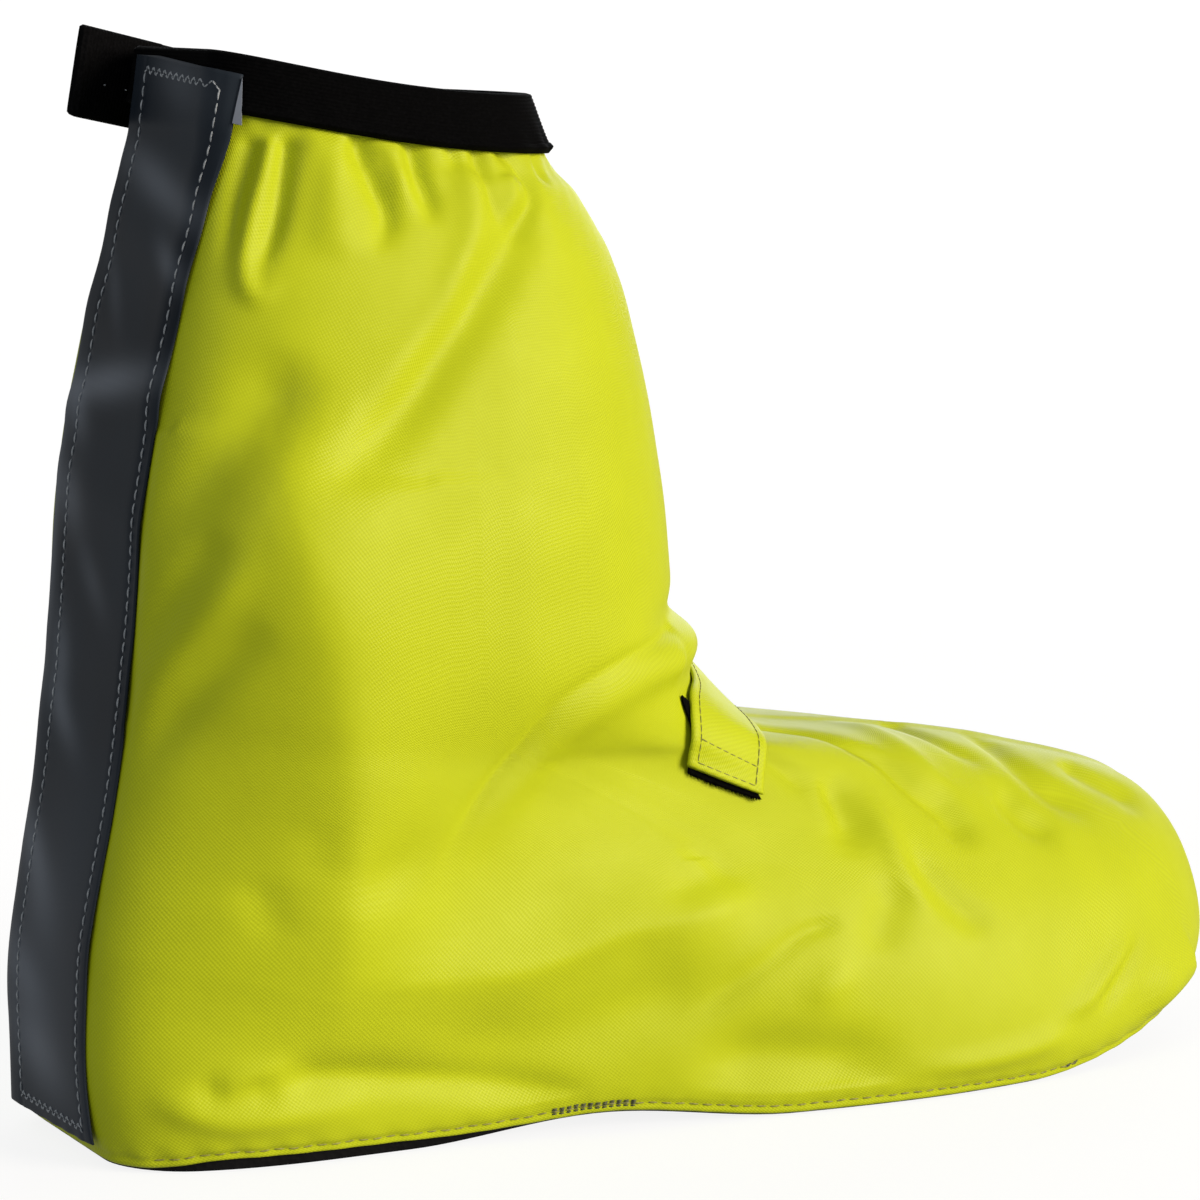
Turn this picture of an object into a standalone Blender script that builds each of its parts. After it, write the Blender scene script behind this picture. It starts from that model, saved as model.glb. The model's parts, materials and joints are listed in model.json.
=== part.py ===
"""Cycling overshoe for the right foot: a hollow fabric upper over a sole panel, with collar band, reflective
strip, instep strap, strap patch and collar tab.

Sizes are millimetres from the heel's back and are turned to metres when a mesh is made. +X runs to the toe,
+Y to the inner (medial) side, -Y to the outer (lateral) side and +Z up.
"""
import functools

import bmesh
import bpy
import numpy as np
from mathutils import Vector
from mathutils.bvhtree import BVHTree

MM = 0.001

# Driving sizes of the upper
LENGTH = 306.0
BALL_WIDTH = 114.0
HEEL_WIDTH = 90.0
INSTEP_HEIGHT = 85.0
COLLAR_HEIGHT = 242.0
ANKLE_WIDTH = 114.0
WALL = 1.0
GAP = 0.3

# The part's origin, on the floor under the middle of its box
ORIGIN = (156.1, 0.9, 0.0)

# Underside of the sole: rounded heel edge, arch between the two flat spots, then toe spring
HEEL_RISE = 3.0
HEEL_ROUND = 27.0
ARCH_RISE = 4.0
ARCH_MIDDLE = 122.0
ARCH_HALF_LENGTH = 46.0
SPRING_START = 232.0
SPRING_RISE = 18.0
SPRING_POWER = 1.7

# Sections of the foot, from the hem up to the instep. Lengths are percent of LENGTH, heights percent of
# INSTEP_HEIGHT, heel_half percent of HEEL_WIDTH, the other widths percent of BALL_WIDTH. "follow" is the
# share of arch and toe spring that the section takes up.
FOOT_COLUMNS = ("back_x", "back_z", "front_x", "front_z", "heel_half", "lateral_half", "medial_half",
                "back_round", "front_round", "toe_in", "follow")
FOOT_SECTIONS = (
    (3.2, 3.0, 99.8, 1.2, 45.0, 49.0, 47.5, 16.5, 33.0, 7.0, 1.0),
    (2.3, 10.6, 100.8, 9.4, 48.0, 51.0, 49.0, 17.0, 33.0, 7.0, 1.0),
    (1.7, 28.0, 100.2, 26.0, 50.0, 51.0, 49.0, 18.0, 33.5, 7.0, 0.9),
    (2.0, 49.5, 98.6, 45.0, 50.0, 48.5, 46.5, 18.0, 34.5, 7.0, 0.7),
    (2.5, 63.5, 95.8, 61.5, 50.0, 43.0, 42.0, 19.0, 37.5, 7.0, 0.5),
    (3.1, 77.5, 90.2, 75.5, 51.0, 37.5, 37.5, 20.5, 42.5, 6.0, 0.3),
    (3.8, 90.5, 80.7, 86.5, 53.5, 35.0, 35.0, 21.5, 42.5, 4.5, 0.1),
    (4.4, 103.5, 69.3, 94.0, 56.5, 37.5, 37.5, 23.0, 38.5, 2.5, 0.0),
    (4.9, 115.0, 59.2, 98.5, 58.5, 42.0, 42.0, 24.0, 29.5, 1.0, 0.0),
    (5.2, 123.5, 54.0, 106.0, 60.5, 45.5, 45.5, 25.0, 25.0, 0.0, 0.0),
)

# Sections of the shaft, from the ankle fold up to the collar. Lengths are percent of LENGTH, heights percent
# of COLLAR_HEIGHT, half percent of ANKLE_WIDTH. "dip" is how far the section sags between back and front.
SHAFT_COLUMNS = ("back_x", "back_z", "front_x", "front_z", "half", "back_round", "front_round", "dip")
SHAFT_SECTIONS = (
    (5.3, 46.3, 51.7, 40.9, 48.4, 24.5, 23.5, 0.0),
    (5.5, 49.2, 51.8, 44.6, 49.4, 24.0, 23.5, 0.0),
    (5.7, 52.9, 50.3, 48.3, 50.0, 23.5, 23.5, 0.0),
    (6.4, 62.0, 49.6, 57.9, 49.5, 23.0, 22.0, 0.0),
    (8.3, 74.4, 48.2, 69.4, 45.5, 21.0, 20.5, 0.2),
    (10.4, 84.7, 46.0, 79.8, 40.5, 18.5, 18.5, 0.5),
    (11.9, 91.3, 43.0, 86.4, 36.0, 16.5, 16.0, 0.8),
    (12.3, 94.2, 40.8, 89.4, 33.5, 15.5, 15.0, 0.9),
    (12.9, 100.0, 38.8, 95.5, 31.0, 14.5, 14.0, 1.0),
)

# Shape of one section's outline in plan: flat across the back, then rounded to the sides
BACK_FLAT = 20.0
BACK_POWER = 2.2
FRONT_POWER = 2.2
WAIST_START = 0.22
WAIST_LENGTH = 0.46
TOE_IN_START = 0.35
TOE_IN_POWER = 1.6
LATERAL = -1
MEDIAL = 1
OUTLINE_POINTS = 240
FLAT_POINTS = 20
ALONG_STEP = 1.0
LEVEL_STEP = 0.03
SHARP_EDGE_DEGREES = 40.0

# Loops of the faceted upper, as (first section, last section, steps), and facets on each side
LOOP_SPANS = ((0, 8, 16), (8, 12, 12), (12, 16, 6), (16, 17, 2))
UPPER_TOP = 17.9
FACETS = 24

# Sole panel
SOLE_PLATE = 1.8
SOLE_RIM = 1.2
SOLE_RIM_LEVELS = (0.5, 1.0)
SOLE_EDGE = 0.6
SOLE_STRIPS = 6

# Collar band, as sections of the shaft
BAND_LEVELS = (17.2, 17.5, 17.75, 18.0)
BAND_THICKNESS = 1.5
BAND_OUT = GAP + BAND_THICKNESS

# Reflective strip: edges as distances round from the back's centre, lateral positive
STRIP_MEDIAL_EDGE = -29.0
STRIP_LATERAL_EDGE = 22.5
STRIP_TOP_SHIFT = 7.0
STRIP_COLUMNS = 13
STRIP_THICKNESS = 1.0
STRIP_GAP = 0.4
STRIP_BOTTOM = 0.5
STRIP_RAMP = (16.4, 17.1)
STRIP_RAMP_STEPS = 4
STRIP_TOP_LEVELS = (17.4, 17.85)

# Instep strap and its patch, laid round a line along the foot at STRAP_AXIS_Z. Each row is a line across the
# strap: place and turn of its back and front edge, and its lift off the upper. Turn is degrees from upright,
# lateral positive.
STRAP_AXIS_Z = 60.0
STRAP_COLUMNS = ("back_x", "back_turn", "front_x", "front_turn", "lift")
STRAP_ROWS = (
    (149.0, -64.0, 167.0, -70.0, 1.4),
    (156.5, -34.0, 171.0, -38.0, 1.5),
    (161.5, 0.0, 174.0, 0.0, 1.7),
    (156.0, 33.0, 170.0, 38.0, 2.9),
    (146.0, 61.0, 164.0, 70.0, 3.1),
)
STRAP_THICKNESS = 1.8
STRAP_STATIONS = 25
STRAP_ACROSS = 5
INSTEP_LEVELS = (3.0, 13.0)
INSTEP_LOOPS = 121
INSTEP_COLUMNS = 240
PATCH_ROWS = (
    (149.5, 45.0, 158.0, 46.0, 0.8),
    (148.0, 53.0, 160.0, 58.0, 0.8),
    (145.5, 62.0, 164.0, 71.0, 0.8),
)
PATCH_THICKNESS = 1.4
PATCH_STATIONS = 7

# Collar tab: webbing laid on the band's medial side, leaving it straight behind and folded back on itself.
# Distances are round from the back's centre, medial negative.
TAB_LEVELS = (16.5, 17.1, 17.6, 18.15)
TAB_START = -58.0
TAB_LEAVE = -40.0
TAB_TAIL = 25.0
TAB_RETURN = 22.0
TAB_THICKNESS = 1.3
TAB_SLOT = 0.8
TAB_STEPS = 8
TAB_FOLD_STEPS = 6

# Materials: colour, roughness, metallic
YELLOW_FABRIC = ("yellow_fabric", (0.66, 0.74, 0.02), 0.55, 0.0)
BLACK_SOLE = ("black_sole", (0.012, 0.012, 0.013), 0.75, 0.0)
BLACK_ELASTIC = ("black_elastic", (0.008, 0.008, 0.009), 0.85, 0.0)
GREY_TAPE = ("grey_tape", (0.055, 0.062, 0.072), 0.42, 0.2)
YELLOW_STRAP = ("yellow_strap", (0.68, 0.74, 0.02), 0.5, 0.0)
BLACK_HOOK = ("black_hook", (0.01, 0.01, 0.01), 0.95, 0.0)
BLACK_WEBBING = ("black_webbing", (0.009, 0.009, 0.01), 0.8, 0.0)


def smooth(t):
    """Soft step from 0 to 1."""
    t = np.clip(t, 0.0, 1.0)
    return t * t * (3.0 - 2.0 * t)


def underside(x):
    """Height of the sole's underside over the floor at x."""
    arch = ARCH_RISE * smooth(1.0 - np.abs(x - ARCH_MIDDLE) / ARCH_HALF_LENGTH)
    spring = np.clip((x - SPRING_START) / (LENGTH - SPRING_START), 0.0, None)
    heel = np.clip(1.0 - x / HEEL_ROUND, 0.0, None)
    return arch + SPRING_RISE * spring ** SPRING_POWER + HEEL_RISE * heel ** 2


def section_table():
    """All sections in millimetres, one row each, in the foot's columns and the dip."""
    along = LENGTH / 100.0
    foot_units = {"back_x": along, "front_x": along, "back_round": along, "front_round": along,
                  "back_z": INSTEP_HEIGHT / 100.0, "front_z": INSTEP_HEIGHT / 100.0,
                  "heel_half": HEEL_WIDTH / 100.0, "follow": 1.0}
    rows = []
    for section in FOOT_SECTIONS:
        rows.append([value * foot_units.get(column, BALL_WIDTH / 100.0)
                     for column, value in zip(FOOT_COLUMNS, section)] + [0.0])
    for section in SHAFT_SECTIONS:
        shaft = dict(zip(SHAFT_COLUMNS, section))
        half = shaft["half"] * ANKLE_WIDTH / 100.0
        rows.append([shaft["back_x"] * along, shaft["back_z"] * COLLAR_HEIGHT / 100.0,
                     shaft["front_x"] * along, shaft["front_z"] * COLLAR_HEIGHT / 100.0,
                     half, half, half, shaft["back_round"] * along, shaft["front_round"] * along, 0.0, 0.0,
                     shaft["dip"] * COLLAR_HEIGHT / 100.0])
    return np.array(rows)


SECTIONS = section_table()


def through_rows(rows, place):
    """A row of values at a fractional row number, on a smooth curve through the rows."""
    k = int(np.clip(np.floor(place), 0, len(rows) - 2))
    t = place - k
    start, end = rows[k], rows[k + 1]
    before = rows[k - 1] if k > 0 else 2 * start - end
    after = rows[k + 2] if k + 2 < len(rows) else 2 * end - start
    bend = 2 * before - 5 * start + 4 * end - after
    twist = 3 * start - before - 3 * end + after
    return 0.5 * (2 * start + (end - before) * t + bend * t ** 2 + twist * t ** 3)


def half_outline(size, side):
    """One side of a section's outline, from the back's centre to the front's centre."""
    length = size["front_x"] - size["back_x"]
    run = length * (1.0 - np.cos(np.linspace(0.0, np.pi, OUTLINE_POINTS))) / 2.0
    t = run / length
    ball_half = size["lateral_half"] if side == LATERAL else size["medial_half"]
    half = size["heel_half"] + (ball_half - size["heel_half"]) * smooth((t - WAIST_START) / WAIST_LENGTH)
    squeeze = max(1.0, (size["back_round"] + size["front_round"]) / length)
    back = np.clip(1.0 - run * squeeze / size["back_round"], 0.0, 1.0)
    front = np.clip(1.0 - (length - run) * squeeze / size["front_round"], 0.0, 1.0)
    back_end = (1.0 - back ** BACK_POWER) ** (1 / BACK_POWER)
    front_end = (1.0 - front ** FRONT_POWER) ** (1 / FRONT_POWER)
    centre = size["toe_in"] * np.clip((t - TOE_IN_START) / (1.0 - TOE_IN_START), 0.0, 1.0) ** TOE_IN_POWER
    x = size["back_x"] + run
    y = centre + side * (BACK_FLAT + (half - BACK_FLAT) * back_end) * front_end
    z = size["back_z"] + (size["front_z"] - size["back_z"]) * t + underside(x) * size["follow"]
    z = z - size["dip"] * np.sin(np.pi * t)
    points = np.stack([x, y, z], axis=1)
    flat = np.repeat(points[:1], FLAT_POINTS, axis=0)
    flat[:, 1] *= np.linspace(0.0, 1.0, FLAT_POINTS, endpoint=False)
    return np.vstack([flat, points])


@functools.lru_cache(maxsize=None)
def outline(level):
    """Closed outline of a section: points, distances along it, and the distance to the front's centre."""
    size = dict(zip(FOOT_COLUMNS + ("dip",), through_rows(SECTIONS, level)))
    lateral = half_outline(size, LATERAL)
    medial = half_outline(size, MEDIAL)[::-1]
    points = np.vstack([lateral, medial[1:]])
    distance = np.r_[0.0, np.cumsum(np.linalg.norm(np.diff(points, axis=0), axis=1))]
    return points, distance, distance[len(lateral) - 1]


def surface_point(level, distance):
    """Point of the upper's outer surface, a distance round from the back's centre."""
    points, along, _ = outline(level)
    place = distance % along[-1]
    return np.array([np.interp(place, along, points[:, axis]) for axis in range(3)])


def surface_normal(level, distance):
    """Outward direction of the upper's surface."""
    along = surface_point(level, distance + ALONG_STEP) - surface_point(level, distance - ALONG_STEP)
    up = surface_point(level + LEVEL_STEP, distance) - surface_point(level - LEVEL_STEP, distance)
    normal = np.cross(along, up)
    return normal / np.linalg.norm(normal)


def facet_distances(level):
    """Distances of a loop's corners: even along the lateral side, then even along the medial side."""
    _, along, front = outline(level)
    lateral = np.linspace(0.0, front, FACETS + 1)[:-1]
    medial = np.linspace(front, along[-1], FACETS + 1)[:-1]
    return np.r_[lateral, medial]


def offset_loop(level, out):
    """Corners of one loop, moved out from the upper's outer surface (in where negative)."""
    return np.array([surface_point(level, distance) + out * surface_normal(level, distance)
                     for distance in facet_distances(level)])


def offset_loops(levels, out):
    """Grid of loops over several levels."""
    return np.array([offset_loop(level, out) for level in levels])


def solid_between(outer, inner, closed_round):
    """Points and faces of the solid between two grids of rows (upward) and columns (along)."""
    rows, columns = outer.shape[:2]
    points = np.vstack([outer.reshape(-1, 3), inner.reshape(-1, 3)])
    inner_start = rows * columns
    faces = []
    for column in range(columns if closed_round else columns - 1):
        right = (column + 1) % columns
        for row in range(rows - 1):
            a, b = row * columns + column, row * columns + right
            c, d = b + columns, a + columns
            faces.append((a, b, c, d))
            faces.append((inner_start + a, inner_start + d, inner_start + c, inner_start + b))
        last = (rows - 1) * columns
        faces.append((right, column, inner_start + column, inner_start + right))
        faces.append((last + column, last + right, inner_start + last + right, inner_start + last + column))
    if not closed_round:
        for row in range(rows - 1):
            left, right = row * columns, (row + 1) * columns - 1
            faces.append((left, left + columns, inner_start + left + columns, inner_start + left))
            faces.append((right + columns, right, inner_start + right, inner_start + right + columns))
    return points, faces


def material(name, colour, roughness, metallic):
    """Principled material of one piece."""
    made = bpy.data.materials.new(name)
    made.use_nodes = True
    shader = made.node_tree.nodes["Principled BSDF"]
    shader.inputs["Base Color"].default_value = (*colour, 1.0)
    shader.inputs["Roughness"].default_value = roughness
    shader.inputs["Metallic"].default_value = metallic
    return made


def add_piece(name, solid, finish, parent):
    """One closed solid as a named object."""
    points, faces = solid
    mesh = bpy.data.meshes.new(name)
    mesh.from_pydata([tuple(point * MM) for point in points], [], faces)
    body = bmesh.new()
    body.from_mesh(mesh)
    bmesh.ops.recalc_face_normals(body, faces=body.faces)
    body.to_mesh(mesh)
    body.free()
    mesh.shade_smooth()
    mesh.set_sharp_from_angle(angle=np.radians(SHARP_EDGE_DEGREES))
    mesh.materials.append(material(*finish))
    piece = bpy.data.objects.new(name, mesh)
    piece.parent = parent
    bpy.context.scene.collection.objects.link(piece)
    return piece


def upper_levels():
    """Section numbers of the upper's loops, closer together at the ankle fold."""
    levels = [first + (last - first) * step / steps
              for first, last, steps in LOOP_SPANS for step in range(steps)]
    return levels + [LOOP_SPANS[-1][1], (LOOP_SPANS[-1][1] + UPPER_TOP) / 2, UPPER_TOP]


def upper_solid():
    """Fabric wall from hem to collar, open at both ends."""
    levels = upper_levels()
    return solid_between(offset_loops(levels, 0.0), offset_loops(levels, -WALL), closed_round=True)


def over_underside(loop, inset, rise):
    """A loop pulled in towards the foot's middle line and set a rise over the underside."""
    moved = loop.copy()
    moved[:, 1] -= inset * np.sign(loop[:, 1])
    moved[:, 2] = underside(moved[:, 0]) + rise
    return moved


def sole_solid():
    """Shallow tray inside the hem: plate over the underside, rim up the inside of the upper."""
    outside = -(WALL + GAP)
    inside = outside - SOLE_RIM
    hem = offset_loop(0.0, outside)
    inner_hem = offset_loop(0.0, inside)
    loops = [over_underside(hem, SOLE_EDGE, 0.0), over_underside(hem, 0.0, SOLE_EDGE), hem]
    loops += [offset_loop(level, outside) for level in SOLE_RIM_LEVELS]
    loops += [offset_loop(level, inside) for level in reversed(SOLE_RIM_LEVELS)]
    loops.append(over_underside(inner_hem, 0.0, SOLE_PLATE))
    count = 2 * FACETS
    points = list(np.vstack(loops))
    faces = []
    for k in range(len(loops) - 1):
        low, high = k * count, (k + 1) * count
        for column in range(count):
            right = (column + 1) % count
            faces.append((low + column, low + right, high + right, high + column))
    for start, rise in ((0, 0.0), ((len(loops) - 1) * count, SOLE_PLATE)):
        faces += fill_across(points, start, rise)
    return np.array(points), faces


def fill_across(points, start, rise):
    """Faces that close a loop by strips from its lateral to its medial side, following the underside."""
    back, front = start, start + FACETS
    lines = []
    for step in range(1, FACETS):
        lateral, medial = start + step, start + 2 * FACETS - step
        line = [lateral]
        for strip in range(1, SOLE_STRIPS):
            point = points[lateral] + (points[medial] - points[lateral]) * strip / SOLE_STRIPS
            point[2] = underside(point[0]) + rise
            line.append(len(points))
            points.append(point)
        lines.append(line + [medial])
    faces = []
    for near, far in zip(lines[:-1], lines[1:]):
        for strip in range(SOLE_STRIPS):
            faces.append((near[strip], near[strip + 1], far[strip + 1], far[strip]))
    for tip, line in ((back, lines[0]), (front, lines[-1])):
        for strip in range(SOLE_STRIPS):
            faces.append((tip, line[strip], line[strip + 1]))
    return faces


def band_solid():
    """Elastic ring round the gathered top."""
    outer = offset_loops(BAND_LEVELS, BAND_OUT)
    return solid_between(outer, offset_loops(BAND_LEVELS, GAP), closed_round=True)


def strip_solid():
    """Tape down the back, over the band at the top."""
    levels = [STRIP_BOTTOM] + [level for level in upper_levels() if STRIP_BOTTOM < level < STRIP_RAMP[0]]
    levels += list(np.linspace(*STRIP_RAMP, STRIP_RAMP_STEPS)) + list(STRIP_TOP_LEVELS)
    distances = np.linspace(STRIP_MEDIAL_EDGE, STRIP_LATERAL_EDGE, STRIP_COLUMNS)
    inner = []
    outer = []
    for level in levels:
        rise = smooth((level - STRIP_RAMP[0]) / (STRIP_RAMP[1] - STRIP_RAMP[0]))
        lift = STRIP_GAP + BAND_OUT * rise
        places = distances + STRIP_TOP_SHIFT * level / STRIP_TOP_LEVELS[-1]
        base = np.array([surface_point(level, place) for place in places])
        normals = np.array([surface_normal(level, place) for place in places])
        inner.append(base + normals * lift)
        outer.append(base + normals * (lift + STRIP_THICKNESS))
    return solid_between(np.array(outer), np.array(inner), closed_round=False)


def upper_tree():
    """Fine facets of the upper's outer surface, for finding where a line leaves the foot."""
    loops = []
    for level in np.linspace(*INSTEP_LEVELS, INSTEP_LOOPS):
        _, along, _ = outline(level)
        distances = np.linspace(0.0, along[-1], INSTEP_COLUMNS, endpoint=False)
        loops.append([surface_point(level, distance) for distance in distances])
    faces = []
    for row in range(INSTEP_LOOPS - 1):
        for column in range(INSTEP_COLUMNS):
            right = (column + 1) % INSTEP_COLUMNS
            low, high = row * INSTEP_COLUMNS, (row + 1) * INSTEP_COLUMNS
            faces.append((low + column, low + right, high + right, high + column))
    return BVHTree.FromPolygons([tuple(point) for loop in loops for point in loop], faces)


def strap_like_solid(tree, rows, stations, thickness, bridges):
    """Flat piece laid round the instep. One that bridges runs straight across where the upper is hollow."""
    rows = np.array(rows)
    inner = []
    outer = []
    for place in np.linspace(0.0, len(rows) - 1.0, stations):
        line = dict(zip(STRAP_COLUMNS, through_rows(rows, place)))
        share = np.linspace(0.0, 1.0, STRAP_ACROSS)
        xs = line["back_x"] + (line["front_x"] - line["back_x"]) * share
        turns = np.radians(line["back_turn"] + (line["front_turn"] - line["back_turn"]) * share)
        ways = np.stack([np.zeros_like(turns), -np.sin(turns), np.cos(turns)], axis=1)
        reach = []
        for x, way in zip(xs, ways):
            hit = tree.ray_cast(Vector((x, 0.0, STRAP_AXIS_Z)), Vector(way))
            reach.append(hit[3])
        reach = np.array(reach)
        if bridges:
            reach = np.maximum(reach, reach[0] + (reach[-1] - reach[0]) * share)
        reach = reach + line["lift"]
        axis = np.stack([xs, np.zeros_like(xs), np.full_like(xs, STRAP_AXIS_Z)], axis=1)
        inner.append(axis + ways * reach[:, None])
        outer.append(axis + ways * (reach[:, None] + thickness))
    return solid_between(np.array(outer), np.array(inner), closed_round=False)


def tab_place(level, along, out):
    """Point on the tab's path: on the band's side first, then straight on behind it."""
    on_band = TAB_LEAVE - TAB_START
    distance = min(TAB_START + along, TAB_LEAVE)
    point = surface_point(level, distance)
    if along > on_band:
        way = point - surface_point(level, TAB_LEAVE - ALONG_STEP)
        point = point + way / np.linalg.norm(way) * (along - on_band)
    return point + surface_normal(level, distance) * out


def tab_solid():
    """Webbing ribbon: out along the band, round a fold behind the collar and part of the way back."""
    length = TAB_LEAVE - TAB_START + TAB_TAIL
    near = BAND_OUT + GAP + TAB_THICKNESS / 2
    radius = (TAB_THICKNESS + TAB_SLOT) / 2
    path = [(along, near, 0.0, 1.0) for along in np.linspace(0.0, length, TAB_STEPS)]
    for turn in np.linspace(0.0, np.pi, TAB_FOLD_STEPS)[1:-1]:
        sine, cosine = np.sin(turn), np.cos(turn)
        path.append((length + radius * sine, near + radius * (1.0 - cosine), -sine, cosine))
    far = near + 2.0 * radius
    path += [(along, far, 0.0, -1.0) for along in np.linspace(length, length - TAB_RETURN, TAB_STEPS)]
    half = TAB_THICKNESS / 2
    sides = []
    for sign in (1.0, -1.0):
        sides.append([[tab_place(level, along + sign * half * side_along, out + sign * half * side_out)
                       for along, out, side_along, side_out in path] for level in TAB_LEVELS])
    return solid_between(np.array(sides[0]), np.array(sides[1]), closed_round=False)


def build():
    for thing in list(bpy.data.objects):
        bpy.data.objects.remove(thing, do_unlink=True)
    overshoe = bpy.data.objects.new("overshoe", None)
    overshoe.location = [-value * MM for value in ORIGIN]
    bpy.context.scene.collection.objects.link(overshoe)
    tree = upper_tree()
    add_piece("upper", upper_solid(), YELLOW_FABRIC, overshoe)
    add_piece("sole", sole_solid(), BLACK_SOLE, overshoe)
    add_piece("collar_band", band_solid(), BLACK_ELASTIC, overshoe)
    add_piece("reflective_strip", strip_solid(), GREY_TAPE, overshoe)
    strap = strap_like_solid(tree, STRAP_ROWS, STRAP_STATIONS, STRAP_THICKNESS, bridges=True)
    add_piece("instep_strap", strap, YELLOW_STRAP, overshoe)
    patch = strap_like_solid(tree, PATCH_ROWS, PATCH_STATIONS, PATCH_THICKNESS, bridges=False)
    add_piece("strap_loop_patch", patch, BLACK_HOOK, overshoe)
    add_piece("collar_tab", tab_solid(), BLACK_WEBBING, overshoe)


build()
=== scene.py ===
"""Looks of the cycling overshoe for the right foot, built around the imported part.

Sizes are millimetres from the heel's back, as in the part's own source: +X runs to the toe, +Y to the inner
(medial) side, -Y to the outer (lateral) side and +Z up. They become metres round the part's origin when a
mesh is made. A "level" is a section's number, from 0 at the hem to 18 at the collar, and a "distance" runs
round a section from the back's centre, along the lateral side first.
"""
import functools
import json

import bmesh
import bpy
import numpy as np
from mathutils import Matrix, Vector, noise
from mathutils.bvhtree import BVHTree

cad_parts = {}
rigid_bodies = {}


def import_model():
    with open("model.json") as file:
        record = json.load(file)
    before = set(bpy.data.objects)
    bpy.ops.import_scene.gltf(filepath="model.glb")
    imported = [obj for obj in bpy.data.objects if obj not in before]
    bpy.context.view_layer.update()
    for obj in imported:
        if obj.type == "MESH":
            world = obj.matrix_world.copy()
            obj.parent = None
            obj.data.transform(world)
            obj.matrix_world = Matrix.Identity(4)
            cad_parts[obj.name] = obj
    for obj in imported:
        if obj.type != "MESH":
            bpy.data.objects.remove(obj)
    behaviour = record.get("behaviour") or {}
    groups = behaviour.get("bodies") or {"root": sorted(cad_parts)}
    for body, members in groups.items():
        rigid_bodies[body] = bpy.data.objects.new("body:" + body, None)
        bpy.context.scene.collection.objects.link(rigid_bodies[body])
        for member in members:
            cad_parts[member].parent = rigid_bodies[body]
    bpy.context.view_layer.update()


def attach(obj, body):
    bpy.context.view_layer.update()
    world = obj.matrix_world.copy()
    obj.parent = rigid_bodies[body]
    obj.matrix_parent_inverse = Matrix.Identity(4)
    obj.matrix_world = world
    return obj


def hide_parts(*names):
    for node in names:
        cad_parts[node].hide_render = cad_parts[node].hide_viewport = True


for thing in list(bpy.data.objects):
    bpy.data.objects.remove(thing, do_unlink=True)
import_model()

MM = 0.001

# Sizes of the part, repeated from its source
LENGTH = 306.0
BALL_WIDTH = 114.0
HEEL_WIDTH = 90.0
INSTEP_HEIGHT = 85.0
COLLAR_HEIGHT = 242.0
ANKLE_WIDTH = 114.0
WALL = 1.0
GAP = 0.3
ORIGIN = (156.1, 0.9, 0.0)
HEEL_RISE = 3.0
HEEL_ROUND = 27.0
ARCH_RISE = 4.0
ARCH_MIDDLE = 122.0
ARCH_HALF_LENGTH = 46.0
SPRING_START = 232.0
SPRING_RISE = 18.0
SPRING_POWER = 1.7

# Sections of the foot: lengths are percent of LENGTH, heights percent of INSTEP_HEIGHT, heel_half percent of
# HEEL_WIDTH, other widths percent of BALL_WIDTH. "follow" is the share of arch and toe spring taken up.
FOOT_COLUMNS = ("back_x", "back_z", "front_x", "front_z", "heel_half", "lateral_half", "medial_half",
                "back_round", "front_round", "toe_in", "follow")
FOOT_SECTIONS = (
    (3.2, 3.0, 99.8, 1.2, 45.0, 49.0, 47.5, 16.5, 33.0, 7.0, 1.0),
    (2.3, 10.6, 100.8, 9.4, 48.0, 51.0, 49.0, 17.0, 33.0, 7.0, 1.0),
    (1.7, 28.0, 100.2, 26.0, 50.0, 51.0, 49.0, 18.0, 33.5, 7.0, 0.9),
    (2.0, 49.5, 98.6, 45.0, 50.0, 48.5, 46.5, 18.0, 34.5, 7.0, 0.7),
    (2.5, 63.5, 95.8, 61.5, 50.0, 43.0, 42.0, 19.0, 37.5, 7.0, 0.5),
    (3.1, 77.5, 90.2, 75.5, 51.0, 37.5, 37.5, 20.5, 42.5, 6.0, 0.3),
    (3.8, 90.5, 80.7, 86.5, 53.5, 35.0, 35.0, 21.5, 42.5, 4.5, 0.1),
    (4.4, 103.5, 69.3, 94.0, 56.5, 37.5, 37.5, 23.0, 38.5, 2.5, 0.0),
    (4.9, 115.0, 59.2, 98.5, 58.5, 42.0, 42.0, 24.0, 29.5, 1.0, 0.0),
    (5.2, 123.5, 54.0, 106.0, 60.5, 45.5, 45.5, 25.0, 25.0, 0.0, 0.0),
)

# Sections of the shaft: lengths are percent of LENGTH, heights percent of COLLAR_HEIGHT, half percent of
# ANKLE_WIDTH. "dip" is how far the section sags between back and front.
SHAFT_COLUMNS = ("back_x", "back_z", "front_x", "front_z", "half", "back_round", "front_round", "dip")
SHAFT_SECTIONS = (
    (5.3, 46.3, 51.7, 40.9, 48.4, 24.5, 23.5, 0.0),
    (5.5, 49.2, 51.8, 44.6, 49.4, 24.0, 23.5, 0.0),
    (5.7, 52.9, 50.3, 48.3, 50.0, 23.5, 23.5, 0.0),
    (6.4, 62.0, 49.6, 57.9, 49.5, 23.0, 22.0, 0.0),
    (8.3, 74.4, 48.2, 69.4, 45.5, 21.0, 20.5, 0.2),
    (10.4, 84.7, 46.0, 79.8, 40.5, 18.5, 18.5, 0.5),
    (11.9, 91.3, 43.0, 86.4, 36.0, 16.5, 16.0, 0.8),
    (12.3, 94.2, 40.8, 89.4, 33.5, 15.5, 15.0, 0.9),
    (12.9, 100.0, 38.8, 95.5, 31.0, 14.5, 14.0, 1.0),
)
BACK_FLAT = 20.0
BACK_POWER = 2.2
FRONT_POWER = 2.2
WAIST_START = 0.22
WAIST_LENGTH = 0.46
TOE_IN_START = 0.35
TOE_IN_POWER = 1.6
LATERAL = -1
MEDIAL = 1
OUTLINE_POINTS = 240
FLAT_POINTS = 20

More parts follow.
